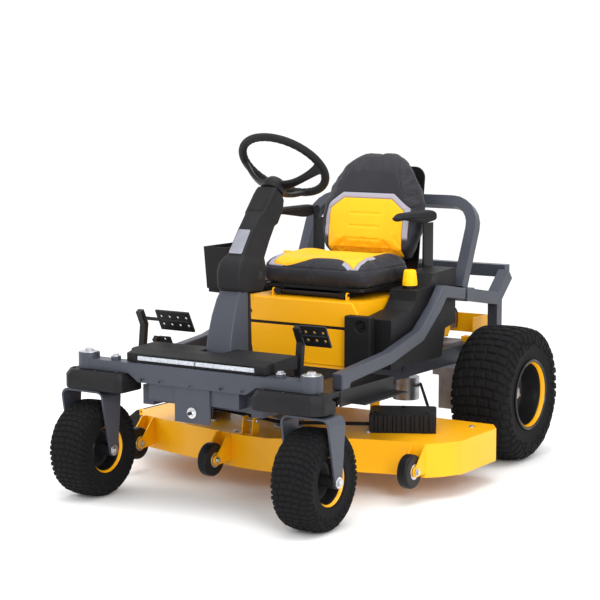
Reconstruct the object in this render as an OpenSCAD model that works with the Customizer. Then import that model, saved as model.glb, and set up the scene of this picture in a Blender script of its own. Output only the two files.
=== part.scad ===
// Zero turn mower with a steering wheel, a three-blade deck and a rear engine.
// Millimetres. The origin is on the ground, below the middle of the rear axle.
// -Y points to the front of the machine, +X to the operator's left, +Z up.

/* [Wheels and stance] */
// Distance from the rear axle forward to the front axles
wheelbase = 1473; // [1230:1:1768]
// Radius of a rear tyre
rear_r = 285; // [240:5:342]
// Width of a rear tyre
rear_w = 266; // [220:2:290]
// Middle of a rear tyre, from the machine's middle
rear_x = 532; // [525:1:640]
// Radius of the wheel disc seat in a rear tyre
rear_rim_r = 136; // [112:2:164]
// Radius of a front tyre
front_r = 187; // [156:1:188]
// Width of a front tyre
front_w = 166; // [138:2:170]
// Radius of the rim seat in a front tyre
front_rim_r = 88; // [74:2:106]
// Front caster pivot, from the machine's middle
pivot_x = 509; // [505:1:610]
// How far a front axle trails behind its pivot
trail = 18; // [15:1:22]

/* [Chassis] */
// Middle of a frame rail, from the machine's middle
rail_x = 250; // [245:1:255]
// Width of a frame rail
rail_w = 50; // [42:1:54]
// Height of a frame rail
rail_h = 75; // [62:1:76]
// Height of the rails' top above the ground
rail_top = 455; // [448:1:462]
// How far the rails run behind the rear axle
rail_back = 250; // [246:1:270]
// Thickness of the foot plate
plate_t = 6; // [4:0.5:7]
// Half width of the foot plate
floor_half = 450; // [440:1:540]
// Bore radius of the hitch hole
hitch_r = 9.5; // [7.9:0.1:12]
// Distance between the two accessory bolt holes in the rear bumper
rack_gap = 400; // [300:10:500]
// Radius of the accessory bolt holes
rack_hole_r = 5.5; // [4.5:0.5:7]

/* [Front end] */
// Height of the beam's underside above the ground
beam_z = 475; // [470:1:478]
// Height of the front beam section
beam_h = 70; // [58:1:84]
// Depth of the front beam section
beam_d = 68; // [57:1:69]
// Radius of the caster stem
stem_r = 16; // [13:0.5:20]
// Teeth on the caster fork's gear
fork_teeth = 30; // [30]
// Teeth on the drive gear
drive_teeth = 36; // [36]
// Gear module
gear_m = 4; // [4]
// Thickness of the steering gears
gear_t = 14; // [10:1:17]
// Reach of the tie rod arm
tie_arm = 70; // [66:1:74]

/* [Steering column] */
// Height of the tilt pivot above the ground
tilt_z = 860; // [850:1:880]
// Radius of the steering wheel at the middle of its rim
wheel_r = 174; // [145:1:208]
// Radius of the rim's section
rim_tube_r = 16; // [12:0.5:19]

/* [Seat] */
// Half width of the seat cushion
seat_half = 262; // [218:1:264]
// Height of the cushion's underside above the ground
seat_z = 774; // [770:1:790]
// Thickness of the seat cushion
cushion_t = 116; // [96:1:120]
// Height of the seat back cushion
back_h = 462; // [385:1:540]
// Thickness of the seat back cushion
back_t = 150; // [125:1:158]

/* [Deck] */
// Height of the deck's lower edge above the ground
deck_z = 90; // [80:1:100]
// Height of the deck shell
deck_h = 132; // [120:1:140]
// Wall of the deck shell
deck_wall = 4; // [3:0.5:5]
// Half length of a blade
blade_r = 228; // [190:1:229]
// Sideways distance between the spindles
spindle_gap = 451; // [449:1:456]
// Radius of the spindle shaft
spindle_r = 12; // [10:0.5:15]
// Radius of the anti-scalp rollers
roller_r = 66; // [55:1:79]
// Radius of the belt pulleys
pulley_r = 60; // [50:1:66]
// Length of the deck lift arms
lift_arm = 120; // [112:1:130]

/* [Rear frame] */
// Height of the seat hoop's top above the ground
hoop_top = 1112; // [1000:5:1200]
// Middle of a hoop upright, from the machine's middle
hoop_x = 400; // [396:1:410]
// Width of the square hoop tube
hoop_w = 46; // [38:1:50]

/* [Hidden] */

$fn = 48;
run = 0.05;          // radial clearance of a running fit
gap = 1;             // gap between neighbouring covers
yellow = "gold";
steel = "dimgray";
black = [0.13, 0.13, 0.14];
vinyl = [0.2, 0.2, 0.22];
zinc = "silver";

// Chassis places
rail_z = rail_top - rail_h;
rail_in = rail_x - rail_w / 2;
rail_out = rail_x + rail_w / 2;
pivot_y = -wheelbase - trail;
beam_top = beam_z + beam_h;
beam_y = pivot_y - beam_d / 2;
beam_back = beam_y + beam_d;
floor_top = rail_top + plate_t;
floor_y = beam_back + 55;
pedestal_y = -762;
pedestal_top = 728;
pedestal_half = 268;
sheet = 6;

// Steering places
gear_gap = gear_m * (fork_teeth + drive_teeth) / 2;
drive_x = pivot_x - gear_gap;
gear_z = 448;
house_z = 430;
house_top = 504;
house_r = 80;
drive_r = 10;
house_end = drive_x - gear_m * drive_teeth / 2 - 9;
fork_top = 424;
fork_t = 9;
fork_gap = front_w / 2 + 11;
pin_r = 5;
tie_z = 482;

// Pedal places: x of each arm's two sides for forward, reverse and brake
pedal_y = -1262;
pedal_z = 500;
pedal_pin_r = 8;
pedal_arms = [[-446, -420], [-368, -348], [290, 316]];

// Column places
tilt_y = pivot_y + 341;
column_rake = 40.7;
wheel_y = tilt_y + 251;
wheel_z = tilt_z + 412;
hub_drop = 127;
tilt_pin_r = 10;

// Seat places
seat_front = -720;
seat_back_y = -150 - back_t;
hinge_y = -706;
hinge_z = pedestal_top + 20;
hinge_pin_r = 6;
slide_x = 150;
back_rake = 8;
back_foot = seat_z + 86;
pan_z = seat_z - 14;
mount_t = 8;
arm_pivot_y = -236;
arm_pivot_z = 1040;
arm_w = 43;
arm_pin_r = 8;

// Deck places
deck_top = deck_z + deck_h;
spindle_y = [-625, -865, -740];
engine_y = 90;
belt_z = deck_top + 23;
belt_t = 13;
shaft_y = -420;
shaft_z = 415;
shaft_r = 12;
lift_pin_r = 8;
lift_ear_x = 206;
roller_w = 44;
roller_pin_r = 7;
deck_half = spindle_gap + blade_r + 38;
chute_y = [spindle_y[2] - 140, spindle_y[2] + 120];
rollers = [           // x, y, z of the left, centre and right roller
    [spindle_gap + 148, spindle_y[0] - blade_r - 88, deck_z + 36],
    [-150, spindle_y[1] - blade_r - 100, deck_z + 40],
    [-spindle_gap - 150, spindle_y[2] - blade_r - 124, deck_z + 36]];

// Rear frame places
hoop_y = -170;
hoop_base = 740;
hoop_lean = 24.5;
bumper_y = 332;
bumper_z = 764;
bumper_w = 54;
bumper_x = 370;
tube_x = hoop_x + 12;
tube_w = 46;
tank_x0 = max(seat_half + 16, pedestal_half + 10);
tank_x1 = hoop_x + 4;
tank_back = hoop_y - 42;
cap_y = -490;
cap_r = 31;
neck_z = 778;
knob_y = -330;
bin_w = 114;

// --- helpers -------------------------------------------------------------

// Both sides of the machine
module both() {
    children();
    mirror([1, 0, 0]) children();
}

// A flat bar of width w from a to b, square ended
module bar(a, b, w) {
    d = b - a;
    translate(a) rotate(atan2(d[1], d[0])) translate([0, -w / 2]) square([norm(d), w]);
}

// The point beside points[i] at distance s, on the mitre of its two neighbouring lines
function unit(v) = v / norm(v);
function beside(points, i, s) =
    let (last = len(points) - 1,
         a = unit(points[max(i, 1)] - points[max(i, 1) - 1]),
         b = unit(points[min(i + 1, last)] - points[min(i, last - 1)]),
         n = unit([-a[1] - b[1], a[0] + b[0]]))
    points[i] + n * s / (n * [-a[1], a[0]]);

// A flat strip of width w along points, with mitred corners
module strip(points, w) {
    last = len(points) - 1;
    polygon([for (i = [0:last]) beside(points, i, w / 2), for (i = [last:-1:0]) beside(points, i, -w / 2)]);
}

// Stands a drawing of (y, z) up across the machine, from x0 for t
module across(x0, t) {
    translate([x0, 0, 0]) rotate([90, 0, 90]) linear_extrude(t) children();
}

// Stands a drawing of (x, z) up along the machine, from y0 for t
module along(y0, t) {
    translate([0, y0 + t, 0]) rotate([90, 0, 0]) linear_extrude(t) children();
}

// A box between two corners
module block(a, b) {
    translate(a) cube(b - a);
}

// A round bar along X
module bar_x(x0, x1, y, z, r) {
    translate([x0, y, z]) rotate([0, 90, 0]) cylinder(h = x1 - x0, r = r);
}

// A round bar along Z
module bar_z(x, y, z0, z1, r) {
    translate([x, y, z0]) cylinder(h = z1 - z0, r = r);
}

// A rectangle with round corners
module round_rect(a, b, r) {
    translate([a[0] + r, a[1]]) square([b[0] - a[0] - 2 * r, b[1] - a[1]]);
    translate([a[0], a[1] + r]) square([b[0] - a[0], b[1] - a[1] - 2 * r]);
    for (x = [a[0] + r, b[0] - r]) for (y = [a[1] + r, b[1] - r])
        translate([x, y]) circle(r);
}

// Half the angle of an involute tooth at radius r, for n teeth of module m
function inv(a) = tan(a) - a * PI / 180;
function tooth_half(n, m, r) =
    let (base = m * n / 2 * cos(20))
    90 / n + (inv(20) - inv(acos(min(1, base / r)))) * 180 / PI - 8 / n;
function tooth(n, m) =
    let (r0 = m * n / 2 - 1.25 * m, rb = max(r0 + 0.2, m * n / 2 * cos(20)), r1 = m * n / 2 + 0.9 * m)
    [for (s = [-1, 1]) for (i = [0:3])
        let (k = s < 0 ? i : 3 - i, r = rb + (r1 - rb) * k / 3, a = s * tooth_half(n, m, r))
        [r * cos(a), r * sin(a)]];

// A spur gear on the Z axis with a tooth on the +X side
module gear(n, m, t) {
    linear_extrude(t) union() {
        circle(m * n / 2 - 1.2 * m);
        for (i = [0:n - 1]) rotate(i * 360 / n)
            polygon(concat([[m * n / 2 - 2.4 * m, -m * 0.8]], tooth(n, m), [[m * n / 2 - 2.4 * m, m * 0.8]]));
    }
}

// --- chassis ---------------------------------------------------------------

module main_frame() {
    front = beam_back;
    color(steel) difference() {
        union() {
            both() block([rail_in, front, rail_z], [rail_out, rail_back, rail_top]);
            block([-rail_in, front, rail_z + 15], [rail_in, front + 50, rail_top]);
            block([-rail_in, -760, rail_z + 15], [rail_in, -720, rail_top]);
            block([-rail_in, rail_back - 50, rail_z], [rail_in, rail_back, rail_top]);
            block([-40, rail_back, rail_z + 20], [40, rail_back + 78, rail_z + 32]);
        }
        both() bar_x(rail_in - 1, rail_out + 1, shaft_y, shaft_z, shaft_r + run);
        bar_z(0, rail_back + 48, rail_z, rail_top, hitch_r);
    }
}

module front_beam() {
    half = pivot_x - 9;
    boss = beam_top + 20;
    color(steel) difference() {
        union() {
            along(beam_y, beam_d) polygon([
                [-half, beam_top], [half, beam_top], [half, house_top + gap], [house_end - 4, house_top + gap],
                [house_end - 50, beam_z], [50 - house_end, beam_z], [4 - house_end, house_top + gap],
                [-half, house_top + gap]]);
            both() bar_z(pivot_x, pivot_y, house_top + gap, boss, 41.5);
            both() bar_z(drive_x, pivot_y, beam_top - 1, boss - 6, 19);
            block([-206, beam_back - 52, beam_z - 62], [206, beam_back, beam_z + 1]);
            block([-80, beam_y + 8, beam_z - 132], [80, beam_y + 17, beam_z - 20]);
            block([-80, beam_y + 8, beam_z - 20], [80, beam_back - 40, beam_z + 1]);
        }
        both() bar_z(pivot_x, pivot_y, house_top - 1, boss + 1, stem_r + run);
        both() bar_z(drive_x, pivot_y, house_top - 1, boss + 1, drive_r + run);
        translate([0, beam_y, beam_z - 93]) rotate([-90, 0, 0]) cylinder(h = 40, r = 9);
    }
}

module housing_outline(inset) {
    end = house_r - inset;
    translate([pivot_x, pivot_y]) circle(end);
    translate([house_end + inset, pivot_y - end]) square([pivot_x - house_end - inset, 2 * end]);
}

module gear_housing() {
    difference() {
        translate([0, 0, house_z]) linear_extrude(house_top - house_z) housing_outline(0);
        translate([0, 0, house_z + 4]) linear_extrude(house_top - house_z - 8) housing_outline(4);
        block([0, pivot_y + 56, house_z - 1], [pivot_x + 120, pivot_y + 140, house_top + 1]);
        block([0, pivot_y + 34, gear_z + gear_t + 9.5], [drive_x + 72, pivot_y + 60, house_top + 1]);
        bar_z(pivot_x, pivot_y, house_z - 1, house_top + 1, stem_r + 4);
        bar_z(drive_x, pivot_y, house_z + 6, house_top + 1, drive_r + 4);
    }
}

module gear_housings() {
    color(black) both() gear_housing();
}

module nose_cover() {
    z0 = beam_top + gap;
    y0 = beam_y + 22;
    color(black) difference() {
        across(-330, 660) polygon([
            [y0, z0], [y0, z0 + 34], [y0 + 60, z0 + 47], [y0 + 196, z0 + 52], [y0 + 196, z0]]);
        both() block([drive_x - 60, y0 - 10, z0 - 1], [340, pivot_y + 32, z0 + 60]);
        block([-52, -wheelbase + 78, z0 - 1], [52, y0 + 200, z0 + 60]);
        block([-270, y0 - 1, z0 + 6], [270, y0 + 12, z0 + 26]);
    }
}

module headlight_bar() {
    z0 = beam_top + gap;
    y0 = beam_y + 22;
    color("gainsboro") for (x = [-268, 2])
        block([x, y0 + 1, z0 + 7], [x + 266, y0 + 11.5, z0 + 25]);
}

module footplate() {
    color(black) difference() {
        union() {
            block([-floor_half, floor_y, rail_top], [floor_half, -805, floor_top]);
            both() block([floor_half - plate_t, -1200, 400], [floor_half, -805, rail_top + 1]);
            both() block([floor_half - 1, -1120, 400], [floor_half + 60, -805, 400 + plate_t]);
            for (a = pedal_arms) for (x = [a[0] - 9, a[1] + 3])
                block([x, pedal_y - 18, floor_top - 1], [x + 6, pedal_y + 18, pedal_z + 16]);
        }
        for (a = pedal_arms) bar_x(a[0] - 12, a[1] + 12, pedal_y, pedal_z, pedal_pin_r + run);
        for (a = pedal_arms) block([a[0] - 2.9, pedal_y - 60, rail_top - 1], [a[1] + 2.9, pedal_y + 60, floor_top + 1]);
    }
}

module post_side(inset) {
    y0 = pivot_y + 129;
    back = y0 + 150;
    polygon([[y0 + inset, floor_top], [y0 + inset, floor_top + 100], [y0 + 22 + inset, floor_top + 200],
             [y0 + 92 + inset, tilt_z + 12 - inset], [back, tilt_z + 12 - inset], [back, floor_top]]);
}

module column_post() {
    color(steel) union() {
        difference() {
            across(-45, 90) post_side(0);
            across(-41, 82) translate([0, -1]) post_side(4);
            block([-41, pivot_y + 140, floor_top + 6], [41, tilt_y + 60, floor_top + 60]);
            block([-41, tilt_y - 76, floor_top + 40], [41, tilt_y + 60, tilt_z + 40]);
        }
        block([-43, pivot_y + 131, floor_top], [43, tilt_y - 10, floor_top + 7]);
        block([-25, tilt_y - 60, floor_top + 6], [25, tilt_y - 12, floor_top + 180]);
        across(-25, 50) bar([tilt_y - 34, floor_top + 150], [tilt_y, tilt_z], 44);
        bar_x(-25, 25, tilt_y, tilt_z, 26);
        bar_x(-54, 54, tilt_y, tilt_z, tilt_pin_r);
    }
}

// --- body panels ------------------------------------------------------------

module front_panel() {
    color(yellow) block([-262, pedestal_y, rail_top], [262, pedestal_y + sheet, 618]);
}

module seat_pedestal() {
    lid = pedestal_top;
    ear_r = 11;
    color(yellow) difference() {
        union() {
            block([-pedestal_half, pedestal_y, 622], [pedestal_half, pedestal_y + sheet, lid]);
            block([-pedestal_half, pedestal_y, lid - sheet], [pedestal_half, -250, lid]);
            both() block([pedestal_half - sheet, pedestal_y + sheet - 1, rail_top], [pedestal_half, -250, lid]);
            both() block([slide_x + 24, hinge_y - ear_r, lid - 1], [slide_x + 30, hinge_y + ear_r, hinge_z]);
            both() bar_x(slide_x + 24, slide_x + 30, hinge_y, hinge_z, ear_r);
        }
        bar_x(-slide_x - 40, slide_x + 40, hinge_y, hinge_z, hinge_pin_r + run);
    }
}

module fender(x0, x1) {
    across(x0, x1 - x0) polygon([
        [-748, 470], [-748, 668], [-590, 690], [-552, 722], [-540, 764], [-438, 772], [-410, 822], [tank_back, 830],
        [tank_back, 600], [-300, 585], [-330, 470]]);
}

module fuel_tank() {
    x = (tank_x0 + tank_x1) / 2;
    color(black) difference() {
        union() {
            fender(tank_x0, tank_x1);
            bar_z(x, cap_y, 750, neck_z, cap_r - 5);
        }
        bar_z(x, cap_y, 740, neck_z + 1, cap_r - 10);
    }
}

module fuel_cap() {
    x = (tank_x0 + tank_x1) / 2;
    color(yellow) union() {
        bar_z(x, cap_y, neck_z + 0.3, neck_z + 64, cap_r);
        bar_z(x, cap_y, neck_z - 24, neck_z + 1, cap_r - 10 - 0.3);
    }
}

module left_console() {
    color(black) difference() {
        block([222, -806, floor_top], [340, pedestal_y - gap, 682]);
        translate([296, -807, 640]) rotate([-90, 0, 0]) cylinder(h = 14, r = 22);
    }
}

module right_console() {
    x0 = -tank_x1;
    x1 = -pedestal_half - 44;
    wall = 5;
    color(black) difference() {
        union() {
            fender(x0, x1);
            across(x0, x1 - x0) polygon([[-850, 740], [-559, 690], [-559, 740], [-660, 770], [-850, 770]]);
            across(x0, bin_w) polygon([[-862, 756], [-884, 930], [-668, 930], [-690, 756]]);
        }
        across(x0 + wall, bin_w - 2 * wall) polygon([[-857, 766], [-878, 936], [-674, 936], [-695, 766]]);
        bar_z((x0 + x1) / 2, knob_y, 760, 840, 8 + run);
    }
}

module pto_knob() {
    x = -(tank_x1 + pedestal_half + 44) / 2;
    color("gold") union() {
        bar_z(x, knob_y, 765, 842, 8);
        bar_z(x, knob_y, 842, 870, 19);
    }
}

// --- rear frame ---------------------------------------------------------------

module side_tubes() {
    end_y = -1200;
    color(steel) both() across(tube_x, tube_w) {
        strip([[hoop_y - 52, 722], [-395, 750], [-455, 690], [-590, 592], [-830, 535], [end_y, 500]], 50);
        polygon([[end_y, floor_top], [end_y, 500], [end_y + 60, 500], [end_y + 60, floor_top]]);
    }
}

// Draws the hoop in its own leaning plane: x, and the distance up from its foot
module hoop_plane() {
    translate([0, hoop_y, hoop_base]) rotate([-hoop_lean, 0, 0]) along(-hoop_w / 2, hoop_w) children();
}

module seat_hoop() {
    w = hoop_w;
    r = 115;
    top = (hoop_top - hoop_base) / cos(hoop_lean) - w / 2 - 6;
    corner = [for (a = [0:15:90]) [hoop_x - r + r * cos(a), top - r + r * sin(a)]];
    half = concat([[hoop_x, 0]], corner);
    color(steel) union() {
        hoop_plane() {
            strip(half, w);
            mirror([1, 0]) strip(half, w);
            bar([r - hoop_x, top], [hoop_x - r, top], w);
        }
        both() block([hoop_x - 30, hoop_y - 40, 690], [hoop_x + tube_w + 12, hoop_y + 24, hoop_base + 2]);
    }
}

module rear_bumper() {
    w = bumper_w;
    post_y = 238;
    color(steel) union() {
        both() across(bumper_x - 25, 50)
            strip([[hoop_y + 36, 711], [208, 655], [bumper_y - 12, bumper_z - 12]], w);
        difference() {
            block([-bumper_x - 2, bumper_y - 24, bumper_z - w / 2], [bumper_x + 2, bumper_y + 24, bumper_z + w / 2]);
            both() translate([rack_gap / 2, bumper_y - 30, bumper_z]) rotate([-90, 0, 0]) cylinder(h = 60, r = rack_hole_r);
        }
        both() block([bumper_x - 32, post_y - 24, rail_top], [bumper_x + 14, post_y + 24, 650]);
        both() block([rail_out, post_y - 24, rail_top - 60], [bumper_x + 14, post_y + 24, rail_top + 1]);
    }
}

module rear_guard() {
    half = rail_out + 20;
    color(yellow) union() {
        block([-half, 300, 480], [half, 306, 566]);
        both() block([half - 6, 162, 480], [half, 301, 566]);
        both() block([rail_in + 10, 162, rail_top], [half, 200, 481]);
    }
}

// --- engine and drive -------------------------------------------------------------

module engine_block() {
    color(zinc) difference() {
        union() {
            block([-120, engine_y - 110, rail_top + 10], [120, engine_y + 90, 620]);
            both() translate([60, engine_y - 20, 560]) rotate([0, 55, 0]) block([-50, -55, 0], [50, 55, 150]);
            block([-rail_x, engine_y - 60, rail_top], [rail_x, engine_y + 60, rail_top + 10.5]);
        }
        bar_z(0, engine_y, rail_top - 1, 500, 15 + run);
    }
}

module engine_shroud() {
    color(black) difference() {
        union() {
            block([-175, engine_y - 130, 665], [175, engine_y + 110, 740]);
            bar_z(0, engine_y - 10, 739, 800, 100);
        }
        block([-170, engine_y - 125, 664], [170, engine_y + 105, 735]);
    }
}

module muffler() {
    color("gray") union() {
        bar_x(-150, 150, 246, 540, 42);
        both() block([40, engine_y + 91, 530], [60, 246, 550]);
    }
}

module transaxles() {
    unit_top = min(rear_r + 60, rail_z);
    color("darkgray") both() difference() {
        union() {
            block([rail_out - 20, -80, rear_r - 85], [rear_x - rear_w / 2 - 14, 80, unit_top]);
            block([rail_in, -80, unit_top - 1], [rear_x - rear_w / 2 - 30, 80, rail_z]);
            bar_x(rail_out + 1, rear_x - rear_w / 2 - 2, 0, rear_r, 44);
        }
        bar_x(rail_out + 20, rear_x, 0, rear_r, 19 + run);
    }
}

module engine_pulley() {
    drum0 = belt_z - 55;
    drum1 = belt_z + belt_t + 32;
    color("gray") union() {
        bar_z(0, engine_y, drum0, drum1, pulley_r);
        bar_z(0, engine_y, drum1 - 1, 498, 15);
    }
}

// --- wheels ---------------------------------------------------------------------------

// Half section of a tyre: x is the radius, y runs along the axle
module tyre_section(r, w, seat) {
    shoulder = w * 0.17;
    difference() {
        union() {
            translate([seat, -w * 0.41]) square([r * 0.86 - seat, w * 0.82]);
            translate([seat + (r - seat) * 0.3, -w / 2 + shoulder]) square([r - seat - (r - seat) * 0.3, w - 2 * shoulder]);
            for (s = [-1, 1]) translate([r - shoulder, s * (w / 2 - shoulder)]) circle(shoulder);
            for (s = [-1, 1]) translate([r - shoulder - (r - seat) * 0.35, s * (w / 2 - shoulder) - shoulder])
                square([(r - seat) * 0.35, 2 * shoulder]);
        }
        translate([seat - 1, -w * 0.36]) square([(r - seat) * 0.72, w * 0.72]);
        translate([0, -w]) square([seat, 2 * w]);
    }
}

module tyre(x, y, r, w, seat) {
    color(black) translate([x, y, r]) rotate([0, 90, 0]) rotate_extrude() tyre_section(r, w, seat);
}

// A pressed wheel with its lips, disc and hub, on the X axis
module rim(w, seat, hub_r, hub_half, bore) {
    rotate([0, 90, 0]) difference() {
        union() {
            rotate_extrude() {
                translate([seat - 7, -w * 0.42]) square([6.5, w * 0.84]);
                for (s = [-1, 1]) translate([seat - 7, s * w * 0.44 - w * 0.03]) square([17, w * 0.06]);
                translate([hub_r - 1, w * 0.02]) square([seat - hub_r - 5, 6]);
            }
            translate([0, 0, -hub_half]) cylinder(h = 2 * hub_half, r = hub_r);
        }
        if (bore > 0) translate([0, 0, -w]) cylinder(h = 2 * w, r = bore);
    }
}

module rear_tyre() {
    tyre(rear_x, 0, rear_r, rear_w, rear_rim_r);
}

module rear_rim() {
    color(black) union() {
        translate([rear_x, 0, rear_r]) rim(rear_w, rear_rim_r, 34, 40, 0);
        bar_x(rail_out + 30, rear_x, 0, rear_r, 19);
    }
}

module front_tyre() {
    tyre(pivot_x, -wheelbase, front_r, front_w, front_rim_r);
}

module front_rim() {
    color(black) translate([pivot_x, -wheelbase, front_r])
        rim(front_w, front_rim_r, 24, fork_gap - 2, 9.5 + run);
}

module caster_fork() {
    leg0 = fork_gap;
    leg1 = fork_gap + fork_t;
    color(steel) translate([pivot_x, 0, 0]) {
        block([-leg1, pivot_y - 48, fork_top - fork_t], [leg1, pivot_y + 62, fork_top]);
        for (x = [-leg1, leg0]) across(x, fork_t) union() {
            polygon([[pivot_y - 48, fork_top - 1], [pivot_y + 62, fork_top - 1],
                     [-wheelbase + 24, front_r], [-wheelbase - 24, front_r]]);
            translate([-wheelbase, front_r]) circle(24);
        }
        bar_x(-leg1 - 12, leg1 + 12, -wheelbase, front_r, 9.5);
        bar_z(0, pivot_y, fork_top - 1, beam_top + 18, stem_r);
        translate([0, pivot_y, gear_z]) rotate(180) gear(fork_teeth, gear_m, gear_t);
    }
}

module drive_gear() {
    color("gray") translate([drive_x, pivot_y, 0]) union() {
        translate([0, 0, gear_z]) rotate(180 / drive_teeth) gear(drive_teeth, gear_m, gear_t);
        bar_z(0, 0, house_z + 6.5, beam_top + 12, drive_r);
        block([-9, 0, gear_z + gear_t - 1], [9, tie_arm, gear_z + gear_t + 9]);
        translate([0, tie_arm, gear_z + gear_t - 1]) cylinder(h = 10, r = 9);
        translate([0, tie_arm, gear_z + gear_t]) cylinder(h = tie_z + 14 - gear_z - gear_t, r = pin_r);
    }
}

module tie_rod() {
    y = pivot_y + tie_arm;
    color(zinc) difference() {
        union() {
            for (x = [-drive_x, drive_x]) bar_z(x, y, tie_z - 9, tie_z + 9, 13);
            bar_x(-drive_x, drive_x, y, tie_z, 6);
        }
        bar_z(drive_x, y, tie_z - 20, tie_z + 20, pin_r + run);
        bar_z(-drive_x, y, tie_z - 20, tie_z + 20, pin_r + 1.5);
    }
}

// --- steering column ---------------------------------------------------------------------

// A point (y, z) at the hub: f ahead of the shaft, d down it from the wheel's hub
function hub_at(f, d) = [
    wheel_y - (hub_drop + d) * sin(column_rake) - f * cos(column_rake),
    wheel_z - (hub_drop + d) * cos(column_rake) + f * sin(column_rake)];

// Along the steering shaft, from 80 below the hub upwards
module wheel_frame() {
    p = hub_at(0, 80);
    translate([0, p[0], p[1]]) rotate([-column_rake, 0, 0]) children();
}

module column_cover() {
    color(black) difference() {
        union() {
            across(-54, 108) polygon([
                [tilt_y - 164, tilt_z + 24], [tilt_y - 130, tilt_z + 76], hub_at(42, 10), hub_at(-24, 10),
                [tilt_y + 150, tilt_z + 214], [tilt_y + 54, tilt_z + 73], [tilt_y + 44, tilt_z - 34],
                [tilt_y + 4, tilt_z - 60], [tilt_y - 122, tilt_z - 36]]);
        }
        across(-49, 98) polygon([
            [tilt_y - 159, tilt_z - 80], [tilt_y - 159, tilt_z + 24], [tilt_y - 125, tilt_z + 75],
            hub_at(36, 15), hub_at(-18, 15), [tilt_y + 144, tilt_z + 215], [tilt_y + 48, tilt_z + 74],
            [tilt_y + 36, tilt_z - 20], [tilt_y + 36, tilt_z - 80]]);
        bar_x(-60, 60, tilt_y, tilt_z, tilt_pin_r + run);
        wheel_frame() cylinder(h = 80, r = 12 + run);
    }
    color(black) difference() {
        wheel_frame() cylinder(h = 69, r = 22);
        wheel_frame() translate([0, 0, -1]) cylinder(h = 80, r = 12 + run);
    }
}

module steering_wheel() {
    color(black) translate([0, wheel_y, wheel_z]) rotate([-column_rake, 0, 0]) union() {
        rotate_extrude($fn = 72) translate([wheel_r, 0]) circle(rim_tube_r, $fn = 24);
        translate([0, 0, -hub_drop - 8]) cylinder(h = 44, r = 48);
        translate([0, 0, -hub_drop - 66]) cylinder(h = 60, r = 12);
        for (a = [0, 90, 270]) rotate(a) across(-17, 34)
            strip([[30, -hub_drop + 20], [wheel_r * 0.62, -66], [wheel_r - 4, -4]], 20);
    }
}

// --- seat ----------------------------------------------------------------------------------

module seat_base() {
    z = pedestal_top + 6;
    color(steel) union() {
        block([-slide_x - 16, hinge_y + 18, z], [slide_x + 16, -262, z + 7]);
        both() block([slide_x - 10, hinge_y + 20, z + 6], [slide_x + 10, -262, pan_z + 4.6]);
        both() block([slide_x - 10, hinge_y - 8, z + 2], [slide_x + 16, hinge_y + 19, hinge_z + 8]);
        bar_x(-slide_x - 34, slide_x + 34, hinge_y, hinge_z, hinge_pin_r);
    }
}

// Draws (x, height) upright in the seat back's raked plane, from depth t0 to t1
module raked(t0, t1) {
    translate([0, seat_back_y, back_foot]) rotate([-back_rake, 0, 0]) along(t0, t1 - t0) children();
}

module seat_pan() {
    y0 = -238;
    y1 = -110;
    x1 = seat_half + 4;
    color(black) union() {
        difference() {
            translate([0, 0, pan_z]) linear_extrude(13.5) round_rect([-236, seat_front + 34], [236, y1], 20);
            both() block([slide_x - 10.4, seat_front, pan_z - 1], [slide_x + 10.4, y1 + 1, pan_z + 5]);
        }
        difference() {
            raked(back_t + 1, back_t + 8) round_rect([-190, -110], [190, back_h - 60], 50);
            block([-300, -400, pan_z - 60], [300, 0, pan_z + 1]);
        }
        both() block([200, y0, pan_z], [x1 + mount_t, y1 - 40, pan_z + 13]);
        both() block([x1, y0 - 16, pan_z], [x1 + mount_t, y0 + 66, arm_pivot_z - 30]);
        both() bar_x(x1, x1 + mount_t, arm_pivot_y, arm_pivot_z, 26);
        both() block([x1, arm_pivot_y - 18, arm_pivot_z - 60], [x1 + mount_t, arm_pivot_y + 18, arm_pivot_z]);
        both() bar_x(x1, x1 + mount_t + arm_w, arm_pivot_y, arm_pivot_z, arm_pin_r);
    }
}

module seat_cushion() {
    color(vinyl) translate([0, 0, seat_z]) linear_extrude(cushion_t)
        round_rect([-seat_half, seat_front], [seat_half, seat_back_y - 4], 70);
}

module seat_back() {
    w = seat_half - 4;
    h = back_h;
    side = [[w - 60, 0], [w - 10, 70], [w, 170], [w - 8, 250], [w - 38, 330], [w - 76, 400], [w - 130, h - 14],
            [w - 172, h]];
    color(vinyl) raked(0, back_t)
        polygon(concat(side, [for (i = [len(side) - 1:-1:0]) [-side[i][0], side[i][1]]]));
}

module armrest() {
    x = seat_half + 4 + mount_t + 1;
    color(black) difference() {
        union() {
            across(x, arm_w) translate([arm_pivot_y, arm_pivot_z])
                polygon([[-300, 10], [-262, 30], [10, 30], [26, 8], [20, -20], [-60, -26], [-240, 0], [-292, -4]]);
            bar_x(x, x + arm_w, arm_pivot_y, arm_pivot_z, 24);
        }
        bar_x(x - 9, x + arm_w + 9, arm_pivot_y, arm_pivot_z, arm_pin_r + run);
    }
}

// --- pedals -----------------------------------------------------------------------------------

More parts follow.
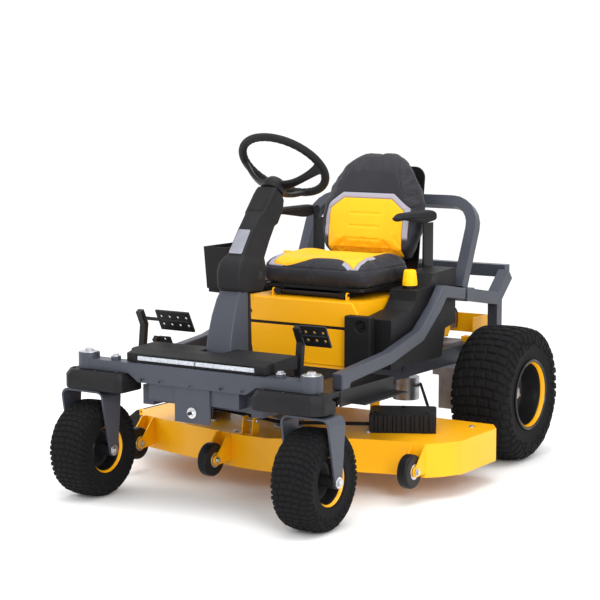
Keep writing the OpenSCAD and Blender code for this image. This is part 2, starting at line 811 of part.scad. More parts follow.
module pedal(arm, plate, z0, z1, holes) {
    middle = (z0 + z1) / 2;
    reach = (z1 - z0) * 0.62;
    pitch = (plate[1] - plate[0]) / holes;
    color(black) union() {
        bar_x(arm[0] - 9, arm[1] + 9, pedal_y, pedal_z, pedal_pin_r);
        bar_x(arm[0] - 0.5, arm[1] + 0.5, pedal_y, pedal_z, 16);
        across(arm[0], arm[1] - arm[0])
            strip([[pedal_y, pedal_z], [pedal_y + 18, z0 + 10], [pedal_y - 10, z1 - 6]], 22);
        bar_x(min(arm[0], plate[0]) + 5, max(arm[1], plate[1]) - 5, pedal_y + 4, middle, 7);
        translate([0, pedal_y + 4, middle]) rotate([-62, 0, 0]) difference() {
            block([plate[0], -reach, -4], [plate[1], reach, 4]);
            for (i = [0:holes - 1]) for (s = [-1, 1])
                translate([plate[0] + (i + 0.5) * pitch, s * 18, -10]) cylinder(h = 20, r = 7);
        }
    }
}

module forward_pedal() {
    pedal(pedal_arms[0], [-350, -190], 640, 712, 4);
}

module reverse_pedal() {
    pedal(pedal_arms[1], [-340, -285], 566, 610, 1);
}

module brake_pedal() {
    pedal(pedal_arms[2], [322, 434], 630, 704, 3);
}

// --- mowing deck ----------------------------------------------------------------------------------

module deck_outline(inset) {
    r = blade_r + 16 - inset;
    x = [for (i = [0:2]) (1 - i) * spindle_gap];
    y = spindle_y;
    side = deck_half - inset;
    for (i = [0:2]) translate([x[i], y[i]]) circle(r, $fn = 96);
    polygon([
        [side, y[0] - 111], [side, y[0] + 180], [side - 45, y[0] + r], [x[1], y[0] + r], [x[2], y[2] + r],
        [50 - side, y[2] + r], [-side, y[2] + 150], [-side, y[2] - 160], [70 - side, y[2] - r],
        [x[2] + 136, y[2] - r - 80 + inset], [x[1] - 60, y[1] - r], [x[1] + 60, y[1] - r],
        [x[0] - 103, y[0] - r - 58 + inset], [x[0] + 49, y[0] - r - 12 + inset], [side - 90, y[0] - r],
        [side - 44, y[0] - 196]]);
}

module roller_bracket(p) {
    for (s = [-1, 1]) difference() {
        across(p[0] + s * (roller_w / 2 + 6) - 3, 6) union() {
            translate([p[1], p[2]]) circle(20);
            polygon([[p[1] - 16, p[2]], [p[1] + 8, p[2] - 20], [p[1] + roller_r + 70, p[2] - 14],
                     [p[1] + roller_r + 70, deck_top], [p[1] + roller_r + 10, deck_top]]);
        }
        bar_x(p[0] - 60, p[0] + 60, p[1], p[2], roller_pin_r + run);
        translate([0, 0, deck_z]) linear_extrude(deck_h) deck_outline(1);
    }
}

module deck_shell() {
    color(yellow) difference() {
        union() {
            difference() {
                translate([0, 0, deck_z]) linear_extrude(deck_h) deck_outline(0);
                translate([0, 0, deck_z - 1]) linear_extrude(deck_h + 1 - deck_wall) deck_outline(deck_wall);
            }
            for (p = rollers) roller_bracket(p);
            both() difference() {
                block([lift_ear_x, shaft_y - lift_arm - 34, deck_top - 1],
                      [lift_ear_x + 6, shaft_y - lift_arm + 34, shaft_z + 24]);
                bar_x(lift_ear_x - 1, lift_ear_x + 7, shaft_y - lift_arm - 3, shaft_z, lift_pin_r + 2.5);
                bar_x(lift_ear_x - 1, lift_ear_x + 7, shaft_y - lift_arm + 14, shaft_z, lift_pin_r + 2.5);
                block([lift_ear_x - 1, shaft_y - lift_arm - 3, shaft_z - lift_pin_r - 2.5],
                      [lift_ear_x + 7, shaft_y - lift_arm + 14, shaft_z + lift_pin_r + 2.5]);
            }
            for (y = chute_y) block([-deck_half - 22, y - 12, deck_top - 26], [-deck_half + 2, y - 4, deck_top]);
        }
        for (i = [0:2]) bar_z((1 - i) * spindle_gap, spindle_y[i], deck_top - 20, deck_top + 20, 46);
        block([-deck_half - 1, chute_y[0] + 4, deck_z - 1], [-deck_half + 60, chute_y[1] - 20, deck_top - 30]);
        for (y = chute_y) translate([-deck_half - 14, y - 16, deck_top - 12]) rotate([-90, 0, 0])
            cylinder(h = 20, r = 4 + run);
    }
}

module spindle_housings() {
    color(zinc) for (i = [0:2]) difference() {
        union() {
            bar_z((1 - i) * spindle_gap, spindle_y[i], deck_top, deck_top + 12, 62);
            bar_z((1 - i) * spindle_gap, spindle_y[i], deck_z + 40, deck_top + 1, 38);
        }
        bar_z((1 - i) * spindle_gap, spindle_y[i], deck_z, deck_top + 20, spindle_r + run);
    }
}

module blade(i) {
    sweep = [20, 80, 140][i];
    color(zinc) translate([(1 - i) * spindle_gap, spindle_y[i], 0]) union() {
        translate([0, 0, deck_z + 14]) rotate(sweep) block([-blade_r, -29, 0], [blade_r, 29, 6]);
        bar_z(0, 0, deck_z + 6, belt_z + belt_t + 10, spindle_r);
        bar_z(0, 0, deck_z + 6, deck_z + 34, 22);
        bar_z(0, 0, belt_z - 5, belt_z + belt_t + 5, pulley_r);
        bar_z(0, 0, belt_z - 5, belt_z - 2, pulley_r + 6);
        bar_z(0, 0, belt_z + belt_t + 2, belt_z + belt_t + 5, pulley_r + 6);
    }
}

module belt_loop(r) {
    hull() {
        for (i = [0:2]) translate([(1 - i) * spindle_gap, spindle_y[i]]) circle(r, $fn = 64);
        translate([0, engine_y]) circle(r, $fn = 64);
    }
}

module deck_belt() {
    color(black) translate([0, 0, belt_z]) linear_extrude(belt_t) difference() {
        belt_loop(pulley_r + 11);
        belt_loop(pulley_r + 1);
    }
}

module belt_cover() {
    h = 73;
    translate([spindle_gap - 115, spindle_y[0] - 176, deck_top]) rotate(28) {
        block([0, 0, h - 5], [264, 190, h]);
        block([0, 0, 0], [264, 5, h]);
        block([259, 0, 0], [264, 190, h]);
        for (i = [1:6]) block([i * 36, -4, 8], [i * 36 + 14, 1, h]);
    }
}

module belt_covers() {
    color(black) {
        belt_cover();
        translate([0, spindle_y[2] - spindle_y[0], 0]) mirror([1, 0, 0]) belt_cover();
    }
}

module discharge_chute() {
    x = -deck_half - 14;
    z = deck_top - 12;
    y0 = chute_y[0] - 3;
    len = chute_y[1] - 13 - y0;
    color(black) union() {
        along(y0, len) strip([[x, z], [x - 30, z], [x - 120, deck_z + 50]], 6);
        along(y0, len) translate([x, z]) circle(8);
        for (y = [y0, y0 + len - 5]) along(y, 5)
            polygon([[x - 20, z], [x - 30, z], [x - 120, deck_z + 50], [x - 104, deck_z + 30], [x - 20, deck_z + 40]]);
        for (y = [y0 - 8, y0 + len - 1]) along(y, 9) translate([x, z]) circle(4);
    }
}

module roller(p) {
    color(black) translate(p) rotate([0, 90, 0]) union() {
        rotate_extrude() difference() {
            translate([0, -roller_w / 2]) square([roller_r, roller_w]);
            translate([roller_r, -roller_w / 2]) rotate(45) square(9, center = true);
            translate([roller_r, roller_w / 2]) rotate(45) square(9, center = true);
        }
        translate([0, 0, -roller_w / 2 - 12]) cylinder(h = roller_w + 24, r = roller_pin_r);
    }
}

module deck_lift_lever() {
    handle_x = -pedestal_half - 30;
    color(steel) union() {
        bar_x(handle_x, rail_out + 6, shaft_y, shaft_z, shaft_r);
        both() across(lift_ear_x - 18, 12) strip([[shaft_y, shaft_z], [shaft_y - lift_arm, shaft_z]], 30);
        both() bar_x(lift_ear_x - 18, lift_ear_x + 8, shaft_y - lift_arm, shaft_z, lift_pin_r);
        both() across(lift_ear_x - 18, 12) translate([shaft_y - lift_arm, shaft_z]) circle(15);
        across(handle_x, 10) strip([[shaft_y, shaft_z], [shaft_y - 20, 560], [shaft_y - 90, 700]], 20);
        across(handle_x - 4, 18) translate([shaft_y - 90, 700]) circle(20);
    }
}

// --- fasteners ------------------------------------------------------------------------------------

module frame_bolts() {
    boss = beam_top + 20;
    color(zinc) both() {
        bar_z(pivot_x, pivot_y, boss, boss + 5, 36);
        bar_z(pivot_x, pivot_y, boss + 5, boss + 14, 17);
        bar_z(drive_x, pivot_y, boss - 6, boss - 1, 18);
        bar_z(drive_x, pivot_y, boss - 1, boss + 5, 9);
    }
    color(zinc) translate([0, beam_y - 14, beam_z - 93]) rotate([-90, 0, 0]) {
        cylinder(h = 12, r = 11, $fn = 6);
        translate([0, 0, 12]) cylinder(h = 10, r = 19);
        cylinder(h = 40, r = 8.8);
    }
}

// --- nodes --------------------------------------------------------------------------------------------

main_frame();
front_beam();
gear_housings();
nose_cover();
headlight_bar();
footplate();
column_post();
front_panel();
seat_pedestal();
fuel_tank();
left_console();
right_console();
side_tubes();
seat_hoop();
rear_bumper();
engine_block();
engine_shroud();
muffler();
transaxles();
rear_guard();
frame_bolts();
rear_tyre();  // rear_tyre_left
mirror([1, 0, 0]) rear_tyre();  // rear_tyre_right
rear_rim();  // rear_rim_left
mirror([1, 0, 0]) rear_rim();  // rear_rim_right
front_tyre();  // front_tyre_left
mirror([1, 0, 0]) front_tyre();  // front_tyre_right
front_rim();  // front_rim_left
mirror([1, 0, 0]) front_rim();  // front_rim_right
caster_fork();  // caster_fork_left
mirror([1, 0, 0]) caster_fork();  // caster_fork_right
drive_gear();  // drive_gear_left
mirror([1, 0, 0]) drive_gear();  // drive_gear_right
tie_rod();
column_cover();
steering_wheel();
seat_base();
seat_pan();
seat_cushion();
seat_back();
armrest();  // armrest_left
mirror([1, 0, 0]) armrest();  // armrest_right
forward_pedal();
reverse_pedal();
brake_pedal();
deck_shell();
belt_covers();
spindle_housings();
deck_belt();
blade(0);  // blade_left
blade(1);  // blade_centre
blade(2);  // blade_right
engine_pulley();
discharge_chute();
roller(rollers[0]);  // roller_left
roller(rollers[1]);  // roller_centre
roller(rollers[2]);  // roller_right
deck_lift_lever();
fuel_cap();
pto_knob();
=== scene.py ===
# %% [markdown]
# # Zero turn mower
# The engineering model is loaded first and never moved. Every piece made below sits in its frame: metres, the
# ground at Z 0, the front of the machine towards -Y, and the operator's left towards +X. Shapes that are already
# right only get a finish and softened edges. Pieces with more form than a plain solid are built again.

import math

import bmesh
import bpy
import numpy as np
from mathutils import Matrix, Vector


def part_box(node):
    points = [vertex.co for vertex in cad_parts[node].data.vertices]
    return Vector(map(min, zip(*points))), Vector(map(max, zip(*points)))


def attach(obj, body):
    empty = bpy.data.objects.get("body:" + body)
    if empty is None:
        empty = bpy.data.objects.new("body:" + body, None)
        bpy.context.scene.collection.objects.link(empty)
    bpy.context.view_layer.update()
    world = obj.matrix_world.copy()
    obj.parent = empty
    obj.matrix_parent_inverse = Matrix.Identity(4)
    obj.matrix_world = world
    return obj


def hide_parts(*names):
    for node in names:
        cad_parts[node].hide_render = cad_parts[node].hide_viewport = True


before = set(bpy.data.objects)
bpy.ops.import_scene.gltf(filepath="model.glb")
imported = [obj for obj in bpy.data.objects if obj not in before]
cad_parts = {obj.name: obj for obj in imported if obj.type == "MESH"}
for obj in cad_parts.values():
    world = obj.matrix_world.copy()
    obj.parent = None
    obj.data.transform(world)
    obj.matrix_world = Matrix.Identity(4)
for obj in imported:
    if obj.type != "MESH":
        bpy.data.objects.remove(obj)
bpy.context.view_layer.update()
mm = 0.001
SIDES = (("left", 1), ("right", -1))                  # each side's name and the sign of its X

# %% [markdown]
# ## Camera
# The machine is seen from its front left corner, a little above the deck, with a long lens that keeps the wheels
# round. The camera is placed by a heading, a height angle and a distance from one aimed point, which is easier to
# reason about than a raw position.

# %% Camera
scene = bpy.context.scene
HEADING, HEIGHT, DISTANCE, LENS = math.radians(32.95), math.radians(7.2), 7.07773, 105.53
aim = Vector((0, -0.78244, 0.72556))
away = Vector((math.sin(HEADING) * math.cos(HEIGHT), -math.cos(HEADING) * math.cos(HEIGHT), math.sin(HEIGHT)))
camera = bpy.data.objects.new("camera", bpy.data.cameras.new("camera"))
scene.collection.objects.link(camera)
camera.location = aim + away * DISTANCE
camera.rotation_euler = (-away).to_track_quat("-Z", "Y").to_euler()
camera.data.lens, camera.data.sensor_width = LENS, 36
camera.data.clip_start, camera.data.clip_end = 0.1, 100
scene.camera = camera
print("camera at", [round(v, 3) for v in camera.location])

# %% [markdown]
# ## Light
# A machine in a studio is lit with very large, soft sources. One broad panel overhead gives the long highlights
# on the paint, one at the front left models the forms, one at the right opens the far side, and the pale
# surroundings fill the rest.

# %% Light
scene.view_settings.view_transform = "Standard"
world = bpy.data.worlds.new("surroundings")
scene.world = world
world.use_nodes = True
world.node_tree.nodes["Background"].inputs["Color"].default_value = (1.0, 1.0, 1.0, 1)
world.node_tree.nodes["Background"].inputs["Strength"].default_value = 1.06


def lamp(name, place, target, size, power):
    light = bpy.data.lights.new(name, "AREA")
    light.shape, light.size, light.size_y, light.energy = "RECTANGLE", size[0], size[1], power
    o = bpy.data.objects.new(name, light)
    scene.collection.objects.link(o)
    o.location = place
    o.rotation_euler = (Vector(target) - Vector(place)).to_track_quat("-Z", "Y").to_euler()
    return o


lamp("overhead", (0.6, -1.2, 4.2), (0, -0.7, 0.4), (3.6, 3.6), 95)
lamp("front_left", (4.2, -4.6, 2.6), (0, -0.8, 0.6), (1.8, 2.4), 130)
lamp("side_right", (-4.6, -2.2, 2.2), (0, -0.8, 0.7), (1.2, 3.0), 45)


# %% [markdown]
# ## A small language for finishes
# A finish is a network of nodes. Written as plain node calls it is hard to read, so one class wraps a socket and
# gives it the arithmetic operators. Then `1 - mask * 0.4` is a formula, and each operator adds one Math node.
# Colours are mixed with a Mix node instead, because a Math node would turn them grey.

# %% Shader maths
class Wire:
    """A socket that can be used in a formula."""

    def __init__(self, finish, socket):
        self.finish, self.socket = finish, socket

    def maths(self, operation, *others, **settings):
        node = self.finish.node("ShaderNodeMath", {"operation": operation, **settings}, {})
        for i, value in enumerate((self, *others)):
            self.finish.feed(node.inputs[i], value)
        return Wire(self.finish, node.outputs[0])

    def __add__(self, other):
        return self.maths("ADD", other)

    def __sub__(self, other):
        return self.maths("SUBTRACT", other)

    def __mul__(self, other):
        return self.maths("MULTIPLY", other)

    def __rsub__(self, other):
        return self.maths("MULTIPLY", -1.0).maths("ADD", other)

    __radd__, __rmul__ = __add__, __mul__

    def over(self, low, high):
        """0 below low, 1 above high, and a smooth step between."""
        node = self.finish.node("ShaderNodeMapRange", {"interpolation_type": "SMOOTHSTEP"},
                                {"Value": self, "From Min": low, "From Max": high})
        return Wire(self.finish, node.outputs["Result"])

    def wave(self):
        return self.maths("SINE")

    def size(self):
        return self.maths("ABSOLUTE")

    def most(self, other):
        return self.maths("MAXIMUM", other)


class Finish:
    """A material, its shader and the calls that add nodes to it."""

    def __init__(self, name, **constants):
        self.material = bpy.data.materials.new(name)
        self.material.use_nodes = True
        self.tree = self.material.node_tree
        self.shader = self.tree.nodes["Principled BSDF"]
        for socket, value in constants.items():
            self.shader.inputs[socket.replace("_", " ").title().replace("Ior", "IOR")].default_value = value
        self.here = Wire(self, self.node("ShaderNodeTexCoord", {}, {}).outputs["Object"])

    def node(self, kind, settings, sockets):
        made = self.tree.nodes.new(kind)
        for key, value in settings.items():
            if key == "stops":
                ramp = made.color_ramp.elements
                while len(ramp) < len(value):
                    ramp.new(0.5)
                for element, (place, colour) in zip(ramp, value):
                    element.position, element.color = place, (*colour, 1)
            else:
                setattr(made, key, value)
        for key, value in sockets.items():
            self.feed(made.inputs[key], value)
        return made

    def feed(self, socket, value):
        if isinstance(value, Wire):
            self.tree.links.new(value.socket, socket)
        elif isinstance(value, tuple) and len(value) == 3 and len(socket.default_value) == 4:
            socket.default_value = (*value, 1)
        else:
            socket.default_value = value

    def axes(self):
        """X, Y and Z of the point, in metres."""
        split = self.node("ShaderNodeSeparateXYZ", {}, {"Vector": self.here})
        return [Wire(self, o) for o in split.outputs]

    def noise(self, scale, detail=3.0, stretch=None, roughness=0.5):
        where = self.here
        if stretch:
            where = Wire(self, self.node("ShaderNodeVectorMath", {"operation": "MULTIPLY"},
                                         {0: self.here, 1: stretch}).outputs[0])
        made = self.node("ShaderNodeTexNoise", {},
                         {"Vector": where, "Scale": scale, "Detail": detail, "Roughness": roughness})
        return Wire(self, made.outputs["Fac"])

    def cells(self, scale, feature="F1", output="Distance"):
        made = self.node("ShaderNodeTexVoronoi", {"feature": feature}, {"Vector": self.here, "Scale": scale})
        return Wire(self, made.outputs[output])

    def blend(self, share, a, b):
        made = self.node("ShaderNodeMix", {"data_type": "RGBA"}, {})
        self.feed(made.inputs[0], share)
        self.feed(made.inputs[6], a)
        self.feed(made.inputs[7], b)
        return Wire(self, made.outputs[2])

    def bump(self, height, distance, strength=1.0, under=None):
        made = self.node("ShaderNodeBump", {}, {"Height": height, "Distance": distance, "Strength": strength})
        if under is not None:
            self.feed(made.inputs["Normal"], under)
        return Wire(self, made.outputs["Normal"])

    def use(self, **wires):
        for socket, value in wires.items():
            self.feed(self.shader.inputs[socket.replace("_", " ").title()], value)
        return self


print("shader maths ready")


# %% [markdown]
# ## Painted steel
# The frame is powder coated: the powder melts into a skin with a faint orange peel, and the grey one holds fine
# metal flakes that lighten and darken from point to point. A smooth single colour would look like plastic, so
# slow noise shifts the shade, fine noise raises the skin, and handling marks change the gloss.

# %% Painted steel
def powder_coat(name, colour, dark, roughness, metallic, peel, flake=0.0, coat=0.0):
    f = Finish(name, coat_weight=coat, coat_roughness=0.12, metallic=metallic, specular_ior_level=0.3)
    slow, fine, marks = f.noise(2.3, 4), f.noise(900, 1), f.noise(26, 6, roughness=0.65)
    shade = f.blend(slow.over(0.3, 0.75), colour, dark)
    if flake:
        sparkle = f.cells(1400, output="Distance").over(0.1, 0.65)
        shade = f.blend(sparkle * flake, shade, tuple(min(1, c * 2.1 + 0.02) for c in colour))
    scuffs = marks.over(0.52, 0.8)
    return f.use(base_color=shade, roughness=roughness + scuffs * 0.13 + fine * 0.04,
                 normal=f.bump(f.noise(260, 2), peel))


frame_paint = powder_coat("frame_paint", (0.043, 0.0475, 0.062), (0.034, 0.0375, 0.049), 0.36, 0.25, 0.00016,
                          flake=0.35)
yellow_paint = powder_coat("yellow_paint", (1.0, 0.47, 0.002), (0.95, 0.43, 0.001), 0.36, 0.0, 0.00012, coat=0.15)
black_steel = powder_coat("black_steel", (0.010, 0.010, 0.0115), (0.007, 0.007, 0.008), 0.42, 0.1, 0.0002)
rim_paint = powder_coat("rim_paint", (0.012, 0.012, 0.014), (0.008, 0.008, 0.009), 0.33, 0.1, 0.0001, coat=0.3)
print("painted steel: frame grey, yellow, black and the wheel black")

# %% [markdown]
# ## Moulded black plastic
# The covers are moulded against a spark-eroded tool, which leaves a pebbled grain of about a millimetre. Two
# scales of cells make the grain, and the gloss breaks up with it. Where hands and boots rub, the grain polishes.

# %% Moulded plastic
def moulded(name, colour, roughness, grain=0.00022, scale=620):
    f = Finish(name, specular_ior_level=0.2)
    pebble, slow = f.cells(scale), f.noise(7, 4)
    shade = f.blend(slow.over(0.35, 0.7), colour, tuple(c * 1.45 for c in colour))
    polished = f.noise(11, 5, roughness=0.6).over(0.55, 0.75)
    return f.use(base_color=shade, roughness=roughness - polished * 0.12 + pebble * 0.08,
                 normal=f.bump(pebble + f.noise(180, 2) * 0.6, grain))


black_plastic = moulded("black_plastic", (0.0075, 0.0075, 0.0086), 0.5)
smooth_plastic = moulded("smooth_plastic", (0.006, 0.006, 0.0068), 0.36, grain=0.00008)
grey_plastic = moulded("grey_plastic", (0.21, 0.215, 0.25), 0.45)
yellow_plastic = moulded("yellow_plastic", (1.0, 0.5, 0.003), 0.36, grain=0.00008)
soft_grip = moulded("soft_grip", (0.008, 0.008, 0.009), 0.62, grain=0.0003, scale=900)
print("moulded plastics: black, smooth black, grey, yellow and the soft grip")


# %% [markdown]
# ## Rubber
# A tyre's black is never even. The mould leaves the sidewall slightly glossy and the tread blocks matt, and a
# bloom of grey settles in the low places. The belt is matt with a woven face.

# %% Rubber
def rubber(name, colour, bloom, roughness):
    f = Finish(name, specular_ior_level=0.12)
    dusty = f.noise(18, 6, roughness=0.65).over(0.42, 0.8)
    speck = f.noise(420, 2)
    return f.use(base_color=f.blend(dusty * 0.55, colour, bloom), roughness=roughness + dusty * 0.15 + speck * 0.08,
                 normal=f.bump(speck + f.noise(60, 3) * 0.7, 0.0004))


tyre_rubber = rubber("tyre_rubber", (0.0065, 0.0065, 0.0075), (0.0125, 0.012, 0.012), 0.68)
belt_rubber = rubber("belt_rubber", (0.012, 0.012, 0.012), (0.03, 0.03, 0.03), 0.75)
print("rubbers: tyre and belt")


# %% [markdown]
# ## Bare and plated metal
# Zinc plate is bright with a cloudy crystal pattern. Ground steel shows fine straight scratches. Cast alloy is
# sandy. The exhaust is blued and browned by heat. Each is one metallic shader with a different pattern on top.

# %% Metals
def metal(name, colour, other, roughness, grain, scale, stretch=None, depth=0.0001):
    f = Finish(name, metallic=1.0)
    pattern = f.noise(scale, 5, stretch=stretch, roughness=0.6)
    cloud = f.noise(grain, 4)
    return f.use(base_color=f.blend(cloud.over(0.3, 0.72), colour, other),
                 roughness=roughness + pattern * 0.16 + cloud * 0.08, normal=f.bump(pattern, depth))


zinc = metal("zinc", (0.66, 0.66, 0.68), (0.5, 0.51, 0.53), 0.2, 60, 300)
bare_steel = metal("bare_steel", (0.38, 0.38, 0.4), (0.28, 0.28, 0.3), 0.26, 30, 40, stretch=(1, 14, 14))
engine_alloy = metal("engine_alloy", (0.42, 0.42, 0.44), (0.33, 0.33, 0.35), 0.5, 24, 700, depth=0.0006)
exhaust_steel = metal("exhaust_steel", (0.3, 0.27, 0.25), (0.2, 0.15, 0.13), 0.38, 14, 260)
print("metals: zinc, bare steel, cast alloy and the exhaust")


# %% [markdown]
# ## Lens and light
# The headlight strip is a clear ribbed moulding over a white reflector. The ribs are modelled, so the finish only
# has to be glossy and pale, with a faint painted glow inside that stands in for light off the white reflector.

# %% Lens
lens_finish = Finish("lens", coat_weight=0.8, emission_strength=0.12)
lens_cloud = lens_finish.noise(90, 3)
# The faint emission is painted glow: the lens tint also shines, standing in for light off the white reflector.
lens_tint_and_painted_glow = lens_finish.blend(lens_cloud.over(0.3, 0.7), (0.62, 0.65, 0.7), (0.42, 0.45, 0.5))
lens_finish.use(base_color=lens_tint_and_painted_glow, emission_color=lens_tint_and_painted_glow, roughness=lens_cloud * 0.1 + 0.08)
print("lens")

# %% [markdown]
# ## Seat vinyl
# The seat is sewn from three vinyls: charcoal sides, a gold middle and pale accents between them. Where one
# colour ends is a sewn line, so each panel is described as a distance to its outline, in metres. The same
# outlines are used again later to press the seams into the cushions, so colour and seam always agree.

# %% Panel outlines
back_foot = Vector((0, -0.300, 0.860))
RAKE = math.radians(8)
FACE_DEEP = 0.075                                     # the front face lies within this depth
SHARP = 0.0008                                        # half the width of a line between two colours
back_panel = [  # a line of the gold panel's outline: outward direction in (side, up), and how far out it lies
    ((1, 0), 0.180), ((0.72, -0.69), 0.119), ((0.60, 0.80), 0.270), ((0, 1), 0.250), ((0, -1), -0.006)]


def back_place(x, y, z):
    """Sideways distance and height up the raked backrest. Works on numbers, arrays and wires."""
    return x, (y - back_foot.y) * math.sin(RAKE) + (z - back_foot.z) * math.cos(RAKE)


def panel_distance(side, up, lines, largest):
    """How far a point lies outside the panel, negative inside."""
    found = None
    for (a, b), reach in lines:
        length = math.hypot(a, b)
        d = side * (a / length) + up * (b / length) - reach
        found = d if found is None else largest(found, d)
    return found


print("gold back panel has", len(back_panel), "lines on each side")


# %% Seat vinyl
def vinyl(name, regions):
    """regions(finish, x, y, z) gives (gold share, pale share, seam share)."""
    f = Finish(name, sheen_weight=0.05, sheen_roughness=0.5, specular_ior_level=0.25)
    x, y, z = f.axes()
    gold, pale, seam = regions(f, x, y, z)
    grain, folds, slow = f.cells(760), f.noise(120, 4), f.noise(6, 3)
    charcoal = f.blend(slow.over(0.3, 0.7), (0.020, 0.020, 0.026), (0.015, 0.015, 0.020))
    golden = f.blend(slow.over(0.3, 0.7), (1.0, 0.49, 0.004), (0.96, 0.45, 0.003))
    shade = f.blend(pale, f.blend(gold, charcoal, golden), (0.34, 0.33, 0.39))
    shade = f.blend(seam * 0.45, shade, (0.012, 0.011, 0.011))
    skin = f.bump(grain * 0.5 + folds * 0.6, 0.00045)
    return f.use(base_color=shade, roughness=0.46 + folds * 0.12, normal=skin)


def back_regions(f, x, y, z):
    side, up = back_place(x.size(), y, z)
    deep = (y - back_foot.y) * math.cos(RAKE) - (z - back_foot.z) * math.sin(RAKE)
    d = panel_distance(side, up, back_panel, Wire.most)
    front = 1 - deep.over(FACE_DEEP, FACE_DEEP + 0.005)
    inside = (1 - d.over(-SHARP, SHARP)) * front
    rim_zone = d.over(-SHARP, SHARP) * (1 - d.over(0.0222, 0.0238)) * up.over(0.075, 0.095) * front
    return inside, rim_zone, 1 - d.size().over(0.001, 0.003)


CUSHION_FRONT, GOLD_HALF = -0.720, 0.195
WAVE_RATE, WAVE_START, WAVE_RISE, WAVE_BACK = 17.0, 0.6, 0.030, 0.052


def cushion_distance(x, side, back, sine, largest):
    """How far a point lies outside the cushion's gold panel, whose front line waves. Negative inside."""
    wave = sine(x * WAVE_RATE + WAVE_START) * WAVE_RISE + WAVE_BACK
    return largest(side - GOLD_HALF, wave - back)


def cushion_regions(f, x, y, z):
    side = x.size()
    back = y - CUSHION_FRONT
    d = cushion_distance(x, side, back, Wire.wave, Wire.most)
    top = z.over(0.845, 0.853)
    inside = (1 - d.over(-SHARP, SHARP)) * top
    pale = (d.over(-SHARP, SHARP) * (1 - d.over(0.020, 0.0215)) * side.over(0.135, 0.138)
            * (1 - back.over(0.17, 0.172)) * top)
    return inside, pale, (1 - d.size().over(0.001, 0.003)) * top


back_vinyl = vinyl("back_vinyl", back_regions)
cushion_vinyl = vinyl("cushion_vinyl", cushion_regions)
print("vinyl for the backrest and the cushion")

# %% [markdown]
# ## Softened edges on the engineering solids
# Real sheet metal and mouldings have no perfectly sharp edge: a radius of a millimetre or two catches the light.
# The solids arrive as triangles, so three modifiers go on in order: points are welded, flat areas are made whole
# again, then only the true corners are bevelled. The solids themselves are never touched.

# %% Soften and finish
def soften(o, radius):
    weld = o.modifiers.new("weld", "WELD")
    weld.merge_threshold = 0.00002
    whole = o.modifiers.new("whole_faces", "DECIMATE")
    whole.decimate_type, whole.angle_limit = "DISSOLVE", math.radians(0.6)
    bevel = o.modifiers.new("soft_edges", "BEVEL")
    bevel.width, bevel.segments, bevel.limit_method = radius, 2, "ANGLE"
    bevel.angle_limit, bevel.use_clamp_overlap = math.radians(32), True
    bevel.miter_outer = "MITER_ARC"
    even = o.modifiers.new("even_shading", "WEIGHTED_NORMAL")
    even.keep_sharp = True
    for face in o.data.polygons:
        face.use_smooth = True


solids = {
    "main_frame": (frame_paint, 4), "front_beam": (frame_paint, 4), "nose_cover": (black_plastic, 4),
    "footplate": (black_steel, 1.5), "front_panel": (yellow_paint, 2),
    "seat_pedestal": (yellow_paint, 2), "fuel_tank": (black_plastic, 14), "left_console": (black_plastic, 8),
    "right_console": (black_plastic, 3), "side_tubes": (frame_paint, 7), "seat_hoop": (frame_paint, 6),
    "rear_bumper": (frame_paint, 5), "engine_block": (engine_alloy, 5), "engine_shroud": (black_plastic, 10),
    "muffler": (exhaust_steel, 5), "transaxles": (engine_alloy, 6), "rear_guard": (yellow_paint, 1.5),
    "drive_gear_left": (bare_steel, 0.6), "drive_gear_right": (bare_steel, 0.6), "tie_rod": (zinc, 1),
    "seat_base": (black_steel, 1.5), "seat_pan": (smooth_plastic, 3),
    "forward_pedal": (black_steel, 1.5), "reverse_pedal": (black_steel, 1.5), "brake_pedal": (black_steel, 1.5),
    "deck_shell": (yellow_paint, 3), "belt_covers": (black_plastic, 3), "spindle_housings": (engine_alloy, 3),
    "deck_belt": (belt_rubber, 1), "blade_left": (bare_steel, 1), "blade_centre": (bare_steel, 1),
    "blade_right": (bare_steel, 1), "engine_pulley": (bare_steel, 1), "discharge_chute": (black_plastic, 2),
    "roller_left": (smooth_plastic, 4), "roller_centre": (smooth_plastic, 4), "roller_right": (smooth_plastic, 4),
    "deck_lift_lever": (frame_paint, 2), "pto_knob": (yellow_plastic, 3),
}
for node, (finish, radius) in solids.items():
    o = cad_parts[node]
    o.data.materials.clear()
    o.data.materials.append(finish.material)
    soften(o, radius * mm)
print(len(solids), "solids softened and finished")


# %% [markdown]
# ## Making new pieces
# Four ways of making a mesh cover the whole machine: a turned profile, a slab cut from a drawing, a section swept
# along a path, and a skin over rings of points. Each returns points and faces, so that one piece can be welded up
# from several of them, and one call turns the result into a piece that rides on its body.

